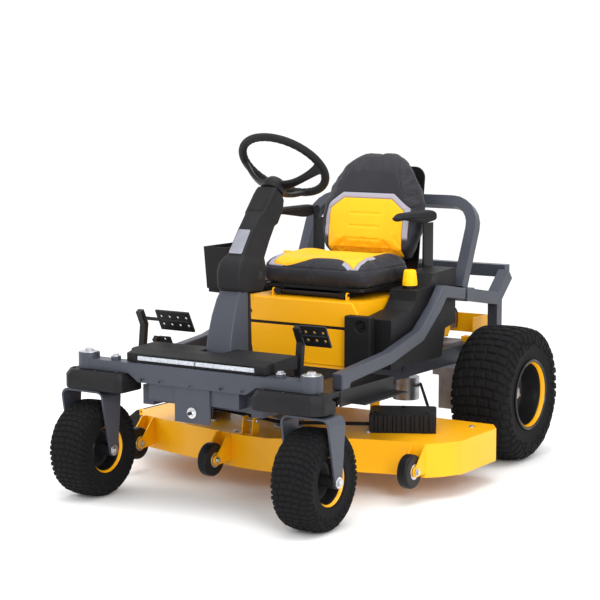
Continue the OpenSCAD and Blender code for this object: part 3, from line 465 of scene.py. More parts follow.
# %% Shapes
class Shape:
    """Points and faces that are still being collected."""

    def __init__(self):
        self.points, self.faces = [], []

    def add(self, points, faces):
        start = len(self.points)
        self.points += [tuple(float(c) for c in p) for p in points]
        self.faces += [tuple(start + i for i in f) for f in faces]
        return self

    def rings(self, rings, closed=False, caps=True):
        """A skin over rings of the same number of points."""
        n, count = len(rings[0]), len(rings)
        points = [p for ring in rings for p in ring]
        faces = []
        for i in range(count if closed else count - 1):
            a, b = i * n, (i + 1) % count * n
            faces += [(a + k, a + (k + 1) % n, b + (k + 1) % n, b + k) for k in range(n)]
        if caps and not closed:
            faces += [tuple(range(n)), tuple(reversed(range((count - 1) * n, count * n)))]
        return self.add(points, faces)

    def turned(self, profile, steps=64, place=None, closed=False):
        """Turns (radius, along) points about Z, then places them."""
        place = place or Matrix.Identity(4)
        rings = []
        for r, h in profile:
            turn = 2 * math.pi / steps
            rings.append([place @ Vector((r * math.cos(turn * k), r * math.sin(turn * k), h))
                          for k in range(steps)])
        return self.rings(rings, closed=closed)

    def slab(self, outline, low, high, place=None):
        """Extrudes a drawing from low to high along Z, then places it."""
        place = place or Matrix.Identity(4)
        return self.rings([[place @ Vector((u, v, w)) for u, v in outline] for w in (low, high)])

    def swept(self, path, section, up=(0, 0, 1), closed=False):
        """Sweeps a (side, up) section along a path. section may be a function of the share of the way."""
        rings, count = [], len(path)
        path = [Vector(p) for p in path]
        for i, p in enumerate(path):
            before = path[i - 1] if i or closed else p
            after = path[(i + 1) % count] if i < count - 1 or closed else p
            ahead = (after - before).normalized()
            side = ahead.cross(Vector(up)).normalized()
            over = side.cross(ahead)
            shape = section(i / (count - 1)) if callable(section) else section
            rings.append([p + side * u + over * v for u, v in shape])
        return self.rings(rings, closed=closed)

    def block(self, a, b):
        return self.slab([(a[0], a[1]), (b[0], a[1]), (b[0], b[1]), (a[0], b[1])], a[2], b[2])


ACROSS = Matrix(((0, 0, 1, 0), (1, 0, 0, 0), (0, 1, 0, 0), (0, 0, 0, 1)))   # drawing (y, z), extruded along X
ALONG = Matrix(((1, 0, 0, 0), (0, 0, 1, 0), (0, 1, 0, 0), (0, 0, 0, 1)))    # drawing (x, z), extruded along Y
FORWARD = Matrix.Rotation(math.pi / 2, 4, "X")                              # turned shapes that face the front


def at(x, y, z, turn=None):
    return Matrix.Translation((x, y, z)) @ (turn or Matrix.Identity(4))


def oval(a, b, steps=16, power=2.0):
    """A round or squarish closed section."""
    found = []
    for k in range(steps):
        t = 2 * math.pi * k / steps
        c, s = math.cos(t), math.sin(t)
        found.append((a * math.copysign(abs(c) ** (2 / power), c), b * math.copysign(abs(s) ** (2 / power), s)))
    return found


def rounded(points, radius, steps=5):
    """Rounds every corner of a closed drawing."""
    found, count = [], len(points)
    for i in range(count):
        p, before, after = (Vector(points[j % count]) for j in (i, i - 1, i + 1))
        a, b = (before - p), (after - p)
        r = min(radius[i] if isinstance(radius, (list, tuple)) else radius, a.length * 0.48, b.length * 0.48)
        start, end = p + a.normalized() * r, p + b.normalized() * r
        for k in range(steps + 1):
            t = k / steps
            q = start * (1 - t) ** 2 + p * 2 * t * (1 - t) + end * t * t
            found.append((q.x, q.y))
    return found


def curve_through(points, steps):
    """A smooth line through points (Catmull-Rom)."""
    p = [Vector(q) for q in points]
    p = [p[0] * 2 - p[1], *p, p[-1] * 2 - p[-2]]
    found = []
    for i in range(1, len(p) - 2):
        for k in range(steps):
            t = k / steps
            found.append(0.5 * ((2 * p[i]) + (p[i + 1] - p[i - 1]) * t
                                + (2 * p[i - 1] - 5 * p[i] + 4 * p[i + 1] - p[i + 2]) * t * t
                                + (3 * p[i] - p[i - 1] - 3 * p[i + 1] + p[i + 2]) * t ** 3))
    return found + [p[-2]]


def welded(name, shape):
    """An object with the shape's points welded and its faces turned outwards."""
    mesh = bpy.data.meshes.new(name)
    mesh.from_pydata(shape.points, [], shape.faces)
    work = bmesh.new()
    work.from_mesh(mesh)
    bmesh.ops.remove_doubles(work, verts=work.verts, dist=0.00001)
    bmesh.ops.recalc_face_normals(work, faces=work.faces)
    work.to_mesh(mesh)
    work.free()
    o = bpy.data.objects.new(name, mesh)
    scene.collection.objects.link(o)
    return o


def piece(name, shape, finish, body, edge=0.0, stands_for=(), smooth=True, angle=32):
    """Makes a finished piece from a shape and puts it on its body."""
    o = welded(name, shape)
    mesh = o.data
    mesh.materials.append(finish.material)
    for face in mesh.polygons:
        face.use_smooth = smooth
    if edge:
        bevel = o.modifiers.new("soft_edges", "BEVEL")
        bevel.width, bevel.segments, bevel.limit_method = edge, 2, "ANGLE"
        bevel.angle_limit = math.radians(angle)
    if smooth:
        even = o.modifiers.new("even_shading", "WEIGHTED_NORMAL")
        even.keep_sharp = True
        mesh.set_sharp_from_angle(angle=math.radians(50 if not edge else 180))
    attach(o, body)
    if stands_for:
        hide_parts(*([stands_for] if isinstance(stands_for, str) else stands_for))
    return o


print("shape tools ready")


# %% [markdown]
# ## Tyres
# A turf tyre has a wide, soft crown covered in low blocks that bend round the shoulder, so that it grips grass
# without cutting it. Separate blocks laid on a ring would leave gaps on the curve. Instead the whole skin is one
# fine grid round the wheel, and a formula sinks the grooves between the blocks by their depth.

# %% Tyres
def tyre_skin(centre, radius, width, bead, pitch, groove, bend, columns, name, body, node, round_steps):
    """One grid round the wheel. Rows of blocks lie a pitch apart and groove deep, and bend back at the sides."""
    height = radius - bead
    half = [(bead, 0.40), (bead + 0.10 * height, 0.452), (bead + 0.36 * height, 0.497), (bead + 0.62 * height, 0.497),
            (bead + 0.84 * height, 0.455), (bead + 0.955 * height, 0.37), (bead + 0.992 * height, 0.20), (radius, 0)]
    line = [Vector((r, w * width, 0)) for r, w in half]
    line = line + [Vector((p.x, -p.y, 0)) for p in reversed(line[:-1])]
    fine = curve_through(line, 24)
    xy = np.array([(p.x, p.y) for p in fine])
    run = np.concatenate([[0], np.cumsum(np.hypot(*np.diff(xy, axis=0).T))])
    count = int(run[-1] / (0.0022))
    across = np.linspace(0, run[-1], count)
    r, w = np.interp(across, run, xy[:, 0]), np.interp(across, run, xy[:, 1])
    dr, dw = np.gradient(r), np.gradient(w)
    size = np.hypot(dr, dw)
    out_r, out_w = -dw / size, dr / size
    s = across - run[-1] / 2
    tread = run[-1] * 0.5 - height * 0.52                      # half the width that carries blocks
    turn = np.linspace(0, 2 * np.pi, round_steps, endpoint=False)
    T, S = np.meshgrid(turn, s, indexing="ij")
    rows = round(2 * math.pi * radius / pitch)

    def rise(x, low, high):
        t = np.clip((x - low) / (high - low), 0, 1)
        return t * t * (3 - 2 * t)

    phase = T / (2 * np.pi) * rows + bend * (S / tread) ** 2
    row = np.floor(phase)
    saw = np.abs(phase - row - 0.5) * 2                        # 1 in the groove between two rows
    block = 1 - rise(saw, 0.58, 0.76)
    column = S / (tread * 2) * columns + 0.5 * (row % 2) + 0.22 * np.sin(row * 2.1)
    slit = np.abs(column - np.floor(column) - 0.5) * 2
    block = block * (1 - 0.9 * rise(slit, 0.74, 0.90)) * (0.88 + 0.12 * np.sin(row * 12.9 + np.floor(column) * 78.2))
    edge = 1 - rise(np.abs(S) + 0.004 * np.cos(np.pi * (row % 2)), tread - 0.003, tread + 0.003)
    sink = groove * (1 - block * edge)
    side_rings = 0.0009 * np.exp(-((np.abs(S) - run[-1] / 2 + height * 0.24) / 0.0016) ** 2)
    side_rings = side_rings + 0.0012 * np.exp(-((np.abs(S) - run[-1] / 2 + height * 0.10) / 0.003) ** 2)
    sink = sink * rise(run[-1] / 2 - np.abs(S), 0.01, height * 0.35) - side_rings
    R, W = r[None, :] - out_r[None, :] * sink, w[None, :] - out_w[None, :] * sink
    points = np.stack([centre[0] + W, centre[1] + R * np.cos(T), centre[2] + R * np.sin(T)], -1)
    shape = Shape().rings(list(points), closed=True, caps=False)
    shape.faces = [f for f in shape.faces if (f[1] % count) != 0 or (f[0] % count) != count - 1]
    o = piece(name, shape, tyre_rubber, body, stands_for=node)
    o.modifiers.clear()
    o.data.set_sharp_from_angle(angle=math.radians(180))
    print(name, len(o.data.vertices), "points,", rows, "rows of blocks")


REAR_X, REAR_R, REAR_W, REAR_BEAD = 0.532, 0.285, 0.266, 0.138
FRONT_X, FRONT_Y, FRONT_R, FRONT_W, FRONT_BEAD = 0.509, -1.473, 0.187, 0.166, 0.090
for side, s in SIDES:
    tyre_skin((s * REAR_X, 0, REAR_R), REAR_R, REAR_W, REAR_BEAD, 0.040, 0.0085, -0.95, 7, f"rear_tread_{side}",
              f"rear_wheel_{side}", f"rear_tyre_{side}", 860)
    tyre_skin((s * FRONT_X, FRONT_Y, FRONT_R), FRONT_R, FRONT_W, FRONT_BEAD, 0.0235, 0.0064, -1.3, 8,
              f"front_tread_{side}", f"front_wheel_{side}", f"front_tyre_{side}", 620)

# %% [markdown]
# ## Wheel discs
# Each wheel is a pressed steel drum with a dished centre. Seen from outside it is a deep black bowl with a thin
# yellow line painted on its rim. Turning one profile gives the drum, the dish and the lips in a single skin. The
# nuts and the grease cap are hexagons and small turned caps set on the dish.


# %% Wheel discs
def hexagon(r):
    return [(r * math.cos(math.radians(60 * k)), r * math.sin(math.radians(60 * k))) for k in range(6)]


def out_of(centre, s):
    """Places a turned shape with its axis along X, pointing outwards on side s."""
    return at(*centre, Matrix.Rotation(s * math.pi / 2, 4, "Y"))


AXLE_IN = 0.305                                       # where an axle shaft leaves its drive unit
for side, s in SIDES:
    body, place = f"rear_wheel_{side}", out_of((s * REAR_X, 0, REAR_R), s)
    half = REAR_W * 0.44
    drum = Shape().turned([(0.150, half + 0.008), (0.143, half + 0.012), (0.136, half + 0.004), (0.1335, half - 0.012),
                           (0.127, half - 0.020), (0.1265, 0.045), (0.120, 0.020), (0.100, 0.010), (0.088, 0.013),
                           (0.075, 0.022), (0.052, 0.026), (0.046, 0.040), (0.0, 0.040), (0.0, 0.030), (0.040, 0.026),
                           (0.074, 0.014), (0.1, 0.002), (0.124, 0.010), (0.1305, 0.03), (0.131, -half + 0.02),
                           (0.136, -half), (0.146, -half - 0.008), (0.150, -half - 0.004), (0.141, -half + 0.01),
                           (0.1365, -half + 0.03), (0.1365, half - 0.03), (0.141, half - 0.004)],
                          96, place, closed=True)
    piece(f"rear_disc_{side}", drum, rim_paint, body, edge=0.001,
          stands_for=f"rear_rim_{side}", angle=40)
    line = Shape().turned([(0.1345, half - 0.0100), (0.1371, half + 0.0055), (0.1362, half + 0.0066),
                           (0.1318, half - 0.0065), (0.1312, half - 0.0120), (0.1330, half - 0.0125)],
                          96, place, closed=True)
    piece(f"rear_line_{side}", line, yellow_paint, body, edge=0.0006)
    nuts = Shape()
    for k in range(5):
        a = 2 * math.pi * k / 5
        spot = place @ Matrix.Translation((0.063 * math.cos(a), 0.063 * math.sin(a), 0.022))
        nuts.slab(hexagon(0.0115), 0, 0.013, spot).turned([(0.005, 0.012), (0.005, 0.022), (0, 0.022)], 16, spot)
    nuts.turned([(0.030, 0.038), (0.030, 0.052), (0.025, 0.060), (0.0, 0.062)], 40, place)
    piece(f"rear_nuts_{side}", nuts, zinc, body, edge=0.0012)
    reach = REAR_X - AXLE_IN
    shaft = Shape().turned([(0.019, 0), (0.019, reach), (0.0, reach), (0.0, 0)], 32,
                           out_of((s * AXLE_IN, 0, REAR_R), s))
    piece(f"axle_shaft_{side}", shaft, bare_steel, body, edge=0.001)

    body, centre = f"front_wheel_{side}", (s * FRONT_X, FRONT_Y, FRONT_R)
    drum, line, caps = Shape(), Shape(), Shape()
    for t in (1, -1):
        place, half = out_of(centre, t), FRONT_W * 0.40
        drum.turned([(0.0, 0.091), (0.0095, 0.091), (0.024, 0.091), (0.024, 0.03), (0.034, 0.016), (0.060, 0.008),
                     (0.076, 0.014), (0.0815, 0.03), (0.082, half - 0.014), (0.087, half - 0.006), (0.093, half),
                     (0.097, half - 0.003), (0.092, half - 0.012), (0.0885, half - 0.02), (0.0885, 0.0)], 72, place)
        line.turned([(0.0855, half - 0.0085), (0.0885, half - 0.0045), (0.0925, half + 0.0012),
                     (0.0913, half + 0.0024), (0.0872, half - 0.0030), (0.0845, half - 0.0080)],
                    72, place, closed=True)
        caps.turned([(0.013, 0.0905), (0.013, 0.0925), (0.0, 0.0925), (0.0, 0.0905)], 24, place)
    piece(f"front_disc_{side}", drum, rim_paint, body, edge=0.0008, stands_for=f"front_rim_{side}",
          angle=40)
    piece(f"front_line_{side}", line, yellow_paint, body, edge=0.0005)
    piece(f"front_bush_{side}", caps, black_plastic, body, edge=0.0005)
print("wheel discs with yellow lines, nuts and shafts")

# %% [markdown]
# ## Caster forks
# A fork is one thick steel strap folded over the wheel: flat on top, a wide bend at each shoulder, then two legs
# that narrow towards the axle. A section is swept down the fold, and its width follows the height, so the taper
# and the bend come out of one path. The axle bolt and its nuts close the fork.

# %% Caster forks
PIVOT_Y, FORK_TOP, FORK_T = -1.491, 0.424, 0.009
EYE_R, SHOULDER_Z = 0.024, 0.385                      # round end at the axle, and where a leg is widest
TEETH, ROOT_R, TIP_R = 30, 0.0552, 0.0634             # the steering gear on top of each fork
LEG = FRONT_W / 2 + 0.011 + FORK_T / 2
for side, s in SIDES:
    bend, top = 0.026, FORK_TOP - FORK_T / 2
    corner = [(LEG - bend + bend * math.cos(math.radians(a)), top - bend + bend * math.sin(math.radians(a)))
              for a in range(0, 91, 15)]
    tip = FRONT_R - EYE_R
    right = [(LEG, tip + 2 * EYE_R * k / 10) for k in range(11)] + [(LEG, z) for z in (0.26, 0.31, 0.36)] + corner
    path = right + [(0.03, top), (-0.03, top)] + [(-x, z) for x, z in reversed(right)]
    rings = []
    for i, (x, z) in enumerate(path):
        a, b = Vector(path[max(i - 1, 0)]), Vector(path[min(i + 1, len(path) - 1)])
        n = Vector((-(b - a).y, (b - a).x)).normalized() * FORK_T / 2
        share = min(1, max(0, (z - FRONT_R) / (SHOULDER_Z - FRONT_R)))
        front, back = FRONT_Y - EYE_R - 0.042 * share, FRONT_Y + EYE_R + 0.020 * share
        low = FRONT_R - z
        if low > 0:
            reach = math.sqrt(max(EYE_R ** 2 - low ** 2, 0.000001))
            front, back = max(front, FRONT_Y - reach), min(back, FRONT_Y + reach)
        rings.append([(s * FRONT_X + x + n.x, front, z + n.y), (s * FRONT_X + x + n.x, back, z + n.y),
                      (s * FRONT_X + x - n.x, back, z - n.y), (s * FRONT_X + x - n.x, front, z - n.y)])
    fork = Shape().rings(rings)
    piece(f"fork_strap_{side}", fork, frame_paint, f"caster_{side}", edge=0.0012,
          stands_for=f"caster_fork_{side}")
    stem = Shape().turned([(0.016, 0), (0.016, 0.148), (0, 0.148), (0, 0)], 32,
                          at(s * FRONT_X, PIVOT_Y, FORK_TOP - 0.002))
    stem.turned([(0.028, 0), (0.028, 0.005), (0.0, 0.005), (0.0, 0)], 32, at(s * FRONT_X, PIVOT_Y, FORK_TOP))
    piece(f"fork_stem_{side}", stem, bare_steel, f"caster_{side}", edge=0.001)
    teeth = []
    for k in range(TEETH):
        for turn, r in ((-0.30, ROOT_R), (-0.16, TIP_R), (0.16, TIP_R), (0.30, ROOT_R)):
            a = 2 * math.pi * (k + turn) / TEETH + math.pi
            teeth.append((r * math.cos(a), r * math.sin(a)))
    gear = Shape().slab(teeth, 0.4485, 0.4615, at(s * FRONT_X, PIVOT_Y, 0))
    piece(f"fork_gear_{side}", gear, bare_steel, f"caster_{side}", edge=0.0005)
    bolt = Shape()
    for t in (1, -1):
        place = out_of((s * FRONT_X, FRONT_Y, FRONT_R), t)
        face = LEG + FORK_T / 2
        bolt.turned([(0.021, face), (0.021, face + 0.0025), (0, face + 0.0025), (0, face)], 32, place)
        bolt.slab(hexagon(0.0145), face + 0.002, face + 0.010, place)
        bolt.turned([(0.0085, face + 0.009), (0.0085, face + 0.012), (0.0, face + 0.012), (0.0, face + 0.009)],
                    24, place)
    bolt.turned([(0.0094, -face), (0.0094, face), (0, face), (0, -face)], 24,
                out_of((s * FRONT_X, FRONT_Y, FRONT_R), 1))
    piece(f"axle_bolt_{side}", bolt, zinc, f"caster_{side}", edge=0.0008)
print("caster forks, stems, gears and axle bolts")

# %% [markdown]
# ## Steering gear housings
# Black covers hide the gears over each caster. They are faceted mouldings: a flat side wall, then a broad chamfer
# up to the top. Three outlines, one above the other, make the facets, and each outline has softly cut corners.

# %% Gear housings
HOUSE_END, HOUSE_R, HOUSE_Z, HOUSE_TOP = 0.296, 0.080, 0.430, 0.504
BEAM_TOP = 0.545


def housing_ring(s, inset, z, rear):
    x1, x0, r = FRONT_X + HOUSE_R - inset, HOUSE_END + inset, HOUSE_R - inset
    front, back = PIVOT_Y - r, PIVOT_Y + rear
    cut = 0.034
    outline = [(x0, front + 0.01), (x0 + 0.02, front), (x1 - cut, front), (x1, front + cut), (x1, back - 0.02),
               (x1 - 0.02, back), (x0, back)]
    return [(s * x, y, z) for x, y in rounded(outline, 0.009, 3)]


for side, s in SIDES:
    cover = Shape().rings([housing_ring(s, 0.006, HOUSE_Z, 0.050), housing_ring(s, 0.0, HOUSE_Z + 0.004, 0.0555),
                           housing_ring(s, 0.0, 0.4705, 0.0555), housing_ring(s, 0.0, 0.4715, 0.033),
                           housing_ring(s, 0.0, HOUSE_TOP - 0.022, 0.033),
                           housing_ring(s, 0.012, HOUSE_TOP - 0.0005, 0.028)])
    piece(f"gear_cover_{side}", cover, black_plastic, "chassis", edge=0.0025,
          stands_for="gear_housings")
    screws = Shape()
    for x, y in ((0.335, -0.052), (0.43, -0.062), (0.56, -0.03), (0.345, 0.014), (0.45, 0.018)):
        screws.turned([(0.007, 0), (0.007, 0.003), (0.004, 0.005), (0, 0.005)], 16,
                      at(s * x, PIVOT_Y + y, HOUSE_TOP - 0.001))
    piece(f"gear_cover_screws_{side}", screws, black_steel, "chassis", edge=0.0006)

# %% [markdown]
# ## Pivot caps and fasteners
# Bright plated parts are small but catch the eye: the dust cap over each caster pivot, the bolt over each drive
# gear, and the big bolt and washer in the front bracket. They are turned profiles with hexagons for the heads.

# %% Pivot caps
for side, s in SIDES:
    boss = at(s * FRONT_X, PIVOT_Y, BEAM_TOP + 0.020)
    caps = Shape().turned([(0.036, 0.0), (0.036, 0.004), (0.030, 0.0055), (0.0, 0.0055)], 48, boss)
    caps.turned([(0.023, 0.005), (0.023, 0.007), (0.0, 0.007)], 32, boss)
    caps.slab(hexagon(0.0175), 0.0068, 0.0145, boss)
    drive = at(s * 0.377, PIVOT_Y, BEAM_TOP + 0.0140)
    caps.turned([(0.018, 0.0), (0.018, 0.0035), (0.0, 0.0035)], 32, drive)
    caps.slab(hexagon(0.0125), 0.0033, 0.0105, drive)
    piece(f"pivot_caps_{side}", caps, zinc, "chassis", edge=0.0009, stands_for="frame_bolts")
beam_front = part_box("front_beam")[0].y
plate_front = -1.517
bolt_place = at(0, plate_front, 0.382, FORWARD)
washer = Shape().turned([(0.0, 0), (0.021, 0), (0.021, 0.004), (0.012, 0.006), (0.0, 0.006)], 40, bolt_place)
washer.slab(hexagon(0.0125), 0.004, 0.013, bolt_place)
piece("bracket_washer", washer, zinc, "chassis", edge=0.0009)
tip = Shape().turned([(0.0, 0.012), (0.0065, 0.012), (0.0065, 0.021), (0.004, 0.023), (0, 0.023)], 24, bolt_place)
piece("bracket_stud", tip, black_steel, "chassis", edge=0.0006)
print("beam front at", round(beam_front, 4))

# %% [markdown]
# ## Details on the front beam
# The beam is a folded channel. Small punched holes sit near its lower edge, and a bracket plate carries the bolt.
# A hole this small reads as a disc of shade, so shallow black plugs are painted shade that stands in for real cuts in
# the solid.

# %% Beam details
# Painted shade: black discs on the beam face stand in for the dark inside of each hole.
hole_shade_discs = Shape()
for x, z, r in ((-0.225, 0.487, 0.0055), (0.0, 0.4835, 0.0035), (0.14, 0.487, 0.0055), (-0.14, 0.487, 0.004),
                (0.235, 0.487, 0.0045)):
    hole_shade_discs.turned([(0, 0), (r, 0), (r, 0.0012), (0, 0.0012)], 20,
                 at(x, beam_front - 0.0001, z, FORWARD))
piece("beam_holes", hole_shade_discs, black_steel, "chassis")
NOSE_Y0, NOSE_Z0 = -1.503, 0.546
glass = Shape()
for s in (-1, 1):
    x0, x1 = (0.004, 0.266) if s > 0 else (-0.266, -0.004)
    count = 46
    wave = []
    for k in range(count * 4 + 1):
        x = x0 + (x1 - x0) * k / (count * 4)
        wave.append((x, NOSE_Y0 + 0.003 + 0.0016 * abs(math.sin(math.pi * k / 4))))
    back = [(x1, NOSE_Y0 + 0.0115), (x0, NOSE_Y0 + 0.0115)]
    glass.slab(wave + back, NOSE_Z0 + 0.0085, NOSE_Z0 + 0.0245)
piece("headlight_lens", glass, lens_finish, "chassis", smooth=False, stands_for="headlight_bar")
print("beam holes and the ribbed headlight")


# %% [markdown]
# ## Steering wheel
# The rim is a thick soft moulding, slightly flattened, with finger waves on its inner side. Three flat arms drop
# from it to a low hub. The rim is one section swept round a circle, and its inner side is pushed in and out by a
# wave. Each arm is a flat section that widens towards the hub.

# %% Steering wheel
WHEEL_Y, WHEEL_Z, COLUMN_RAKE, WHEEL_R = -0.899, 1.272, math.radians(40.7), 0.174
wheel_place = at(0, WHEEL_Y, WHEEL_Z, Matrix.Rotation(-COLUMN_RAKE, 4, "X"))
rim = Shape()
rings = []
for k in range(144):
    a = 2 * math.pi * k / 144
    wave = 0.0011 * math.cos(a * 40)
    ring = []
    for u, v in oval(0.0162, 0.0150, 20, 2.25):
        r = WHEEL_R + u + (wave if u < -0.004 else 0)
        ring.append(wheel_place @ Vector((r * math.cos(a), r * math.sin(a), v)))
    rings.append(ring)
rim.rings(rings, closed=True)
piece("wheel_rim", rim, soft_grip, "steering_wheel", stands_for="steering_wheel")
arms = Shape()
for degrees in (0, 90, 270):
    turn = Matrix.Rotation(math.radians(degrees), 4, "Z")
    line = curve_through([(0, 0.012, -0.100), (0, 0.045, -0.098), (0, 0.085, -0.082), (0, 0.125, -0.052),
                          (0, 0.155, -0.022), (0, 0.168, -0.006)], 6)
    rings = []
    for i, p in enumerate(line):
        share = i / (len(line) - 1)
        wide = 0.034 - 0.020 * math.sin(math.pi * min(1, share * 0.9 + 0.02)) ** 1.2 + 0.004 * share
        before, after = line[max(i - 1, 0)], line[min(i + 1, len(line) - 1)]
        ahead = (after - before).normalized()
        over = Vector((1, 0, 0)).cross(ahead).normalized()
        rings.append([wheel_place @ turn @ (p + Vector((1, 0, 0)) * u + over * v)
                      for u, v in oval(wide, 0.0095, 20, 3.2)])
    arms.rings(rings)
piece("wheel_arms", arms, smooth_plastic, "steering_wheel")
hub = Shape().turned([(0.0, -0.076), (0.026, -0.0765), (0.034, -0.080), (0.040, -0.088), (0.047, -0.100),
                      (0.050, -0.118), (0.048, -0.131), (0.040, -0.1345), (0.012, -0.1345), (0.012, -0.19),
                      (0.0, -0.19)], 48, wheel_place)
piece("wheel_hub", hub, smooth_plastic, "steering_wheel", edge=0.0015)
print("steering wheel: rim, three arms and a hub")

# %% [markdown]
# ## Steering column
# The column cover is a hollow moulding: a deep cup at the tilt joint, then a narrow neck, then a block under the
# hub. A pale insert and a smooth ridge lie on its front face. The fixed post below tapers upwards. Both are skins
# over squarish rings, each ring given by its front point, its rear point and half its width.


# %% Column trim
def face_plate(name, corners, thickness, finish, body, round_by=0.006, edge=0.0012):
    """A thin plate on a sloping face: corners are (x, y, z), anticlockwise from outside."""
    c = [Vector(p) for p in corners]
    aside = (c[1] - c[0]).normalized()
    out = (c[1] - c[0]).cross(c[3] - c[0]).normalized()
    rise = out.cross(aside)
    flat = [((p - c[0]).dot(aside), (p - c[0]).dot(rise)) for p in c]
    place = Matrix(((aside.x, rise.x, out.x, c[0].x), (aside.y, rise.y, out.y, c[0].y),
                    (aside.z, rise.z, out.z, c[0].z), (0, 0, 0, 1)))
    plate = Shape().slab(rounded(flat, round_by, 4), -0.001, thickness, place)
    return piece(name, plate, finish, body, edge=edge)


def slice_of(front, rear, half, power=7.0):
    """A squarish ring between a front and a rear point, each (y, z), and half as wide as half."""
    f, b = Vector((0, *front)), Vector((0, *rear))
    return [(f + b) / 2 + (f - b) / 2 * u + Vector((half * v, 0, 0)) for u, v in oval(1, 1, 56, power)]


outside = [((-1.270, 0.808), (-1.110, 0.802), 0.052), ((-1.287, 0.826), (-1.104, 0.818), 0.057),
           ((-1.290, 0.880), (-1.100, 0.868), 0.0585), ((-1.277, 0.916), (-1.096, 0.896), 0.057),
           ((-1.250, 0.938), (-1.092, 0.914), 0.049), ((-1.238, 0.946), (-1.088, 0.924), 0.0425),
           ((-1.168, 1.038), (-1.048, 0.990), 0.0405), ((-1.118, 1.092), (-1.018, 1.040), 0.0425),
           ((-1.108, 1.101), (-1.004, 1.050), 0.049), ((-1.050, 1.165), (-0.972, 1.100), 0.0505),
           ((-1.028, 1.186), (-0.966, 1.134), 0.050), ((-1.020, 1.1935), (-0.969, 1.150), 0.045)]
inside = [((-1.266, 0.8085), (-1.114, 0.8025), 0.049), ((-1.2835, 0.828), (-1.1075, 0.820), 0.0540),
          ((-1.2865, 0.879), (-1.1035, 0.868), 0.0550), ((-1.274, 0.908), (-1.100, 0.892), 0.0540)]
cover = Shape().rings([slice_of(*k) for k in inside[::-1] + outside])
piece("column_shell", cover, black_plastic, "column", stands_for="column_cover", angle=50)
low, high = Vector((0, -1.2395, 0.9455)), Vector((0, -1.1695, 1.0375))
face_plate("column_insert", [(-0.030, *low.lerp(high, 0.06).yz), (0.030, *low.lerp(high, 0.06).yz),
                             (0.027, *low.lerp(high, 1.0).yz), (-0.027, *low.lerp(high, 1.0).yz)],
           0.0022, grey_plastic, "column")
low, high = Vector((0, -1.1085, 1.1010)), Vector((0, -1.0505, 1.1650))
face_plate("column_ridge", [(-0.034, *low.lerp(high, 0.10).yz), (0.034, *low.lerp(high, 0.10).yz),
                            (0.032, *low.lerp(high, 0.92).yz), (-0.032, *low.lerp(high, 0.92).yz)],
           0.0015, smooth_plastic, "column")
post = [((-1.3655, 0.461), (-1.228, 0.461), 0.0600), ((-1.3650, 0.470), (-1.228, 0.470), 0.0600),
        ((-1.3590, 0.560), (-1.228, 0.560), 0.0590), ((-1.3420, 0.650), (-1.226, 0.650), 0.0570),
        ((-1.3200, 0.720), (-1.222, 0.720), 0.0540), ((-1.2930, 0.780), (-1.218, 0.780), 0.0500),
        ((-1.2700, 0.812), (-1.215, 0.812), 0.0460), ((-1.2600, 0.850), (-1.212, 0.850), 0.0440)]
piece("post_shell", Shape().rings([slice_of(*k, 14.0) for k in post]), frame_paint, "chassis",
      stands_for="column_post", angle=50)
behind = Shape()
behind.rings([[(x, y, z) for x, y in ((-w, -1.2275), (w, -1.2275), (w, -1.2275 + d), (-w, -1.2275 + d))]
              for z, w, d in ((0.462, 0.050, 0.062), (0.600, 0.044, 0.040), (0.790, 0.036, 0.010))])
for x in (-0.022, 0.030):
    behind.swept([(x, -1.176, 0.466), (x, -1.184, 0.640), (x, -1.190, 0.80)], oval(0.0075, 0.0075, 14), (1, 0, 0))
piece("post_back", behind, black_steel, "chassis", edge=0.0008)
pivot_caps = Shape()
for s in (1, -1):
    pivot_caps.turned([(0.0, 0.054), (0.020, 0.054), (0.020, 0.058), (0.012, 0.061), (0.0, 0.061)], 32,
                      out_of((0, -1.150, 0.860), s))
piece("tilt_caps", pivot_caps, black_steel, "column", edge=0.0008)
print("column trim")

# %% [markdown]
# ## Seat
# Both cushions are stuffed vinyl. They start as plain closed forms a little smaller than the space they fill, are
# turned into an even skin of small faces, and are then inflated as cloth, so that their sides belly out between
# the sewn edges. A limit on how far any point may move keeps them clear of the pan. Seams are pressed in
# afterwards, because a seam is narrower than the faces the simulation works with.


# %% Cushion tools
def inflate(o, size, limit, pressure=4.0):
    """Even skin, then twenty frames of cloth with air inside, then applied."""
    remesh = o.modifiers.new("even_skin", "REMESH")
    remesh.mode, remesh.voxel_size = "VOXEL", size
    apply_modifiers(o)
    before = np.array([v.co for v in o.data.vertices])
    cloth = o.modifiers.new("cloth", "CLOTH")
    cloth.settings.use_pressure = True
    cloth.settings.uniform_pressure_force = pressure
    cloth.settings.effector_weights.gravity = 0
    cloth.settings.quality = 5
    cloth.point_cache.frame_start, cloth.point_cache.frame_end = 1, 20
    for number in range(1, 21):
        scene.frame_set(number)
    apply_modifiers(o)
    after = np.array([v.co for v in o.data.vertices])
    move = after - before
    length = np.linalg.norm(move, axis=1, keepdims=True)
    after = before + move * np.minimum(1, limit / np.maximum(length, 1e-9))
    o.data.vertices.foreach_set("co", after.astype(np.float32).ravel())
    scene.frame_set(1)
    print(o.name, "swelled by up to", round(float(min(length.max(), limit)) * 1000), "mm")
    o.data.update()
    return o


def apply_modifiers(o):
    ready = bpy.data.meshes.new_from_object(o.evaluated_get(bpy.context.evaluated_depsgraph_get()))
    o.modifiers.clear()
    old, o.data = o.data, ready
    bpy.data.meshes.remove(old)


def refine(o, levels=1):
    sub = o.modifiers.new("finer", "SUBSURF")
    sub.levels = sub.render_levels = levels
    apply_modifiers(o)


